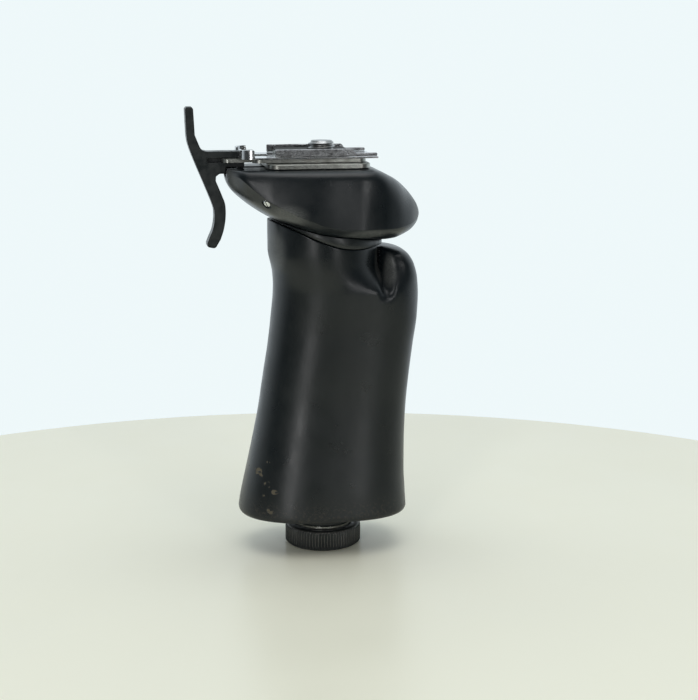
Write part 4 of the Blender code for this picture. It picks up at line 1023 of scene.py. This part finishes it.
def make_cheek_screws(material):
    """Slightly domed, slotted screw ends set in the head's flanks."""
    for side, name in ((-1, "near"), (1, "far")):
        place, normal = cheek_frame(side)
        radius = CHEEK_RADIUS
        profile = (
            (-7.8, radius), (-0.45, radius), (-0.22, radius - 0.12), (-0.1, radius - 0.45),
            (-0.04, radius - 0.9),
        )
        points, faces = slanted_rod(place, normal, profile)
        node = f"cheek_screw_{name}"
        screw = piece(f"grip_{node}", points, faces, material, "grip", [node], "chrome")
        across = np.cross(normal, (0.0, 0.0, 1.0))
        across /= np.linalg.norm(across)
        up = np.cross(across, normal)
        corners = []
        for out in (-0.75, 1.0):
            corners += [tuple(place + normal * out + up * a + across * b) for a, b in rectangle(-4, 4, 0.22)]
        sides = [(0, 1, 2, 3), (7, 6, 5, 4), (0, 4, 5, 1), (1, 5, 6, 2), (2, 6, 7, 3), (3, 7, 4, 0)]
        cut(screw, piece("slot", corners, sides, None, None, (), None, smooth=False))
        wear_of(screw)


# ---- stage


TABLE_RADIUS = 0.302
TABLE_THICK = 0.02
TABLE_FORWARD = 0.107
VIEW_AZIMUTH = math.radians(-9.0)


def towards_view(distance):
    """(x, y) at this distance from the knob's axis on the camera's side."""
    return distance * math.sin(VIEW_AZIMUTH), -distance * math.cos(VIEW_AZIMUTH)


def make_stage():
    """A pale round table, its middle in front of the grip."""
    bpy.ops.mesh.primitive_cylinder_add(
        vertices=256,
        radius=TABLE_RADIUS,
        depth=TABLE_THICK,
        location=(*towards_view(TABLE_FORWARD), -TABLE_THICK / 2),
    )
    table = bpy.context.object
    table.name = "stage_table"
    f = Finish("table_top")
    base = f.mix(f.noise(14.0, 5.0), (0.875, 0.855, 0.70), (0.915, 0.895, 0.735))
    table.data.materials.append(f.done(base, f.span(f.noise(30.0, 4.0), 0.3, 0.7, 0.30, 0.38)))


def area(name, azimuth, elevation, distance, size, power):
    """A soft box aimed at the grip. Azimuth 0 is on the -Y side and grows towards +X."""
    a, e = math.radians(azimuth), math.radians(elevation)
    back = Vector((math.sin(a) * math.cos(e), -math.cos(a) * math.cos(e), math.sin(e)))
    light = bpy.data.lights.new(name, "AREA")
    light.shape = "RECTANGLE"
    light.size, light.size_y = size
    light.energy = power
    obj = bpy.data.objects.new(name, light)
    bpy.context.scene.collection.objects.link(obj)
    obj.location = Vector((0, 0, 0.08)) + back * distance
    obj.rotation_mode = "QUATERNION"
    obj.rotation_quaternion = (-back).to_track_quat("-Z", "Y")


BACKDROP_SIDE = (0.156, 0.988, 0.0)


def make_light():
    """A white backdrop behind the grip, dim on the near side, two upright soft boxes and one overhead."""
    world = bpy.data.worlds.new("studio")
    bpy.context.scene.world = world
    world.use_nodes = True
    tree = world.node_tree
    tree.nodes.clear()
    out = tree.nodes.new("ShaderNodeOutputWorld")
    path = tree.nodes.new("ShaderNodeLightPath")
    seen = tree.nodes.new("ShaderNodeBackground")
    seen.inputs["Color"].default_value = (0.86, 0.94, 0.955, 1.0)
    seen.inputs["Strength"].default_value = 1.0
    around = tree.nodes.new("ShaderNodeBackground")
    coordinate = tree.nodes.new("ShaderNodeTexCoord")
    dot = tree.nodes.new("ShaderNodeVectorMath")
    dot.operation = "DOT_PRODUCT"
    dot.inputs[1].default_value = BACKDROP_SIDE
    tree.links.new(coordinate.outputs["Generated"], dot.inputs[0])
    ramp = tree.nodes.new("ShaderNodeMapRange")
    ramp.interpolation_type = "SMOOTHSTEP"
    ramp.inputs["From Min"].default_value = -0.42
    ramp.inputs["From Max"].default_value = 0.42
    ramp.inputs["To Min"].default_value = 0.05
    ramp.inputs["To Max"].default_value = 0.95
    tree.links.new(dot.outputs["Value"], ramp.inputs["Value"])
    around.inputs["Color"].default_value = (0.86, 0.95, 1.0, 1.0)
    tree.links.new(ramp.outputs["Result"], around.inputs["Strength"])
    mix = tree.nodes.new("ShaderNodeMixShader")
    tree.links.new(path.outputs["Is Camera Ray"], mix.inputs["Fac"])
    tree.links.new(around.outputs["Background"], mix.inputs[1])
    tree.links.new(seen.outputs["Background"], mix.inputs[2])
    tree.links.new(mix.outputs["Shader"], out.inputs["Surface"])
    area("left_box", -28.0, 12.0, 1.3, (0.17, 0.9), 3.9)
    area("right_box", 21.0, 12.0, 1.3, (0.08, 0.9), 2.2)
    area("top_box", 0.0, 80.0, 1.4, (1.2, 1.2), 9.0)


CAMERA_PITCH = math.radians(12.0)
CAMERA_DISTANCE = 0.556
CAMERA_HEIGHT = 0.1916
CAMERA_TURN = math.radians(1.01946)


def make_camera():
    """The camera stands left of the near side and looks down, turned a little to the right."""
    data = bpy.data.cameras.new("camera")
    data.lens, data.sensor_width = 79.2, 36.0
    data.clip_start, data.clip_end = 0.01, 20.0
    camera = bpy.data.objects.new("camera", data)
    bpy.context.scene.collection.objects.link(camera)
    camera.location = (*towards_view(CAMERA_DISTANCE), CAMERA_HEIGHT)
    camera.rotation_euler = (math.pi / 2 - CAMERA_PITCH, 0.0, VIEW_AZIMUTH - CAMERA_TURN)
    bpy.context.scene.camera = camera


def main():
    moulding = moulding_finish()
    enamel = enamel_finish("black_enamel", 0.9)
    ferrule_enamel = enamel_finish("ferrule_enamel", 0.3, (0.12, 0.12, 0.11))
    knurl = enamel_finish("knurled_enamel", 0.75, (0.19, 0.19, 0.18))
    nickel = metal_finish("dull_nickel", (0.42, 0.43, 0.40), (0.22, 0.22, 0.195), 0.30, 0.35)
    chrome = metal_finish("scratched_chrome", (0.72, 0.73, 0.74), (0.45, 0.46, 0.46), 0.14, 0.25)
    screw_steel = metal_finish("screw_steel", (0.44, 0.45, 0.46), (0.22, 0.22, 0.21), 0.26, 0.3)
    rail_chrome = metal_finish("scuffed_rail", (0.33, 0.34, 0.35), (0.10, 0.10, 0.105), 0.24, 0.95)
    pad = pad_finish()
    make_handle(moulding)
    make_head(moulding)
    make_joint_ring(enamel)
    make_knob(knurl)
    make_ferrule(ferrule_enamel)
    make_bolt(screw_steel)
    make_plate("base_plate", "grip_base_plate", "steel", nickel, (4.0, 4.0), 6.4, 0.3)
    make_plate("guide_plate", "grip_guide_plate", "steel", nickel, (3.0, 3.0), 5.4, 0.15, (-26.0, 7.0, 2.0))
    make_tray(chrome)
    make_rails(rail_chrome)
    make_plate("camera_plate", "grip_camera_plate", "steel", nickel, (1.0, 6.0), 5.4, 0.2)
    make_plate("camera_pad", "grip_pad", "pad", pad, (1.0, 0.6), 5.7, 0.1)
    make_trigger(enamel)
    make_spring(nickel)
    make_cheek_screws(chrome)
    inner = {"base_cap": moulding}
    for name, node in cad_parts.items():
        if node.hide_render:
            continue
        node.data.materials.clear()
        node.data.materials.append(inner.get(name, nickel))
    make_stage()
    make_light()
    make_camera()
    bpy.context.scene.view_settings.view_transform = "Standard"


main()
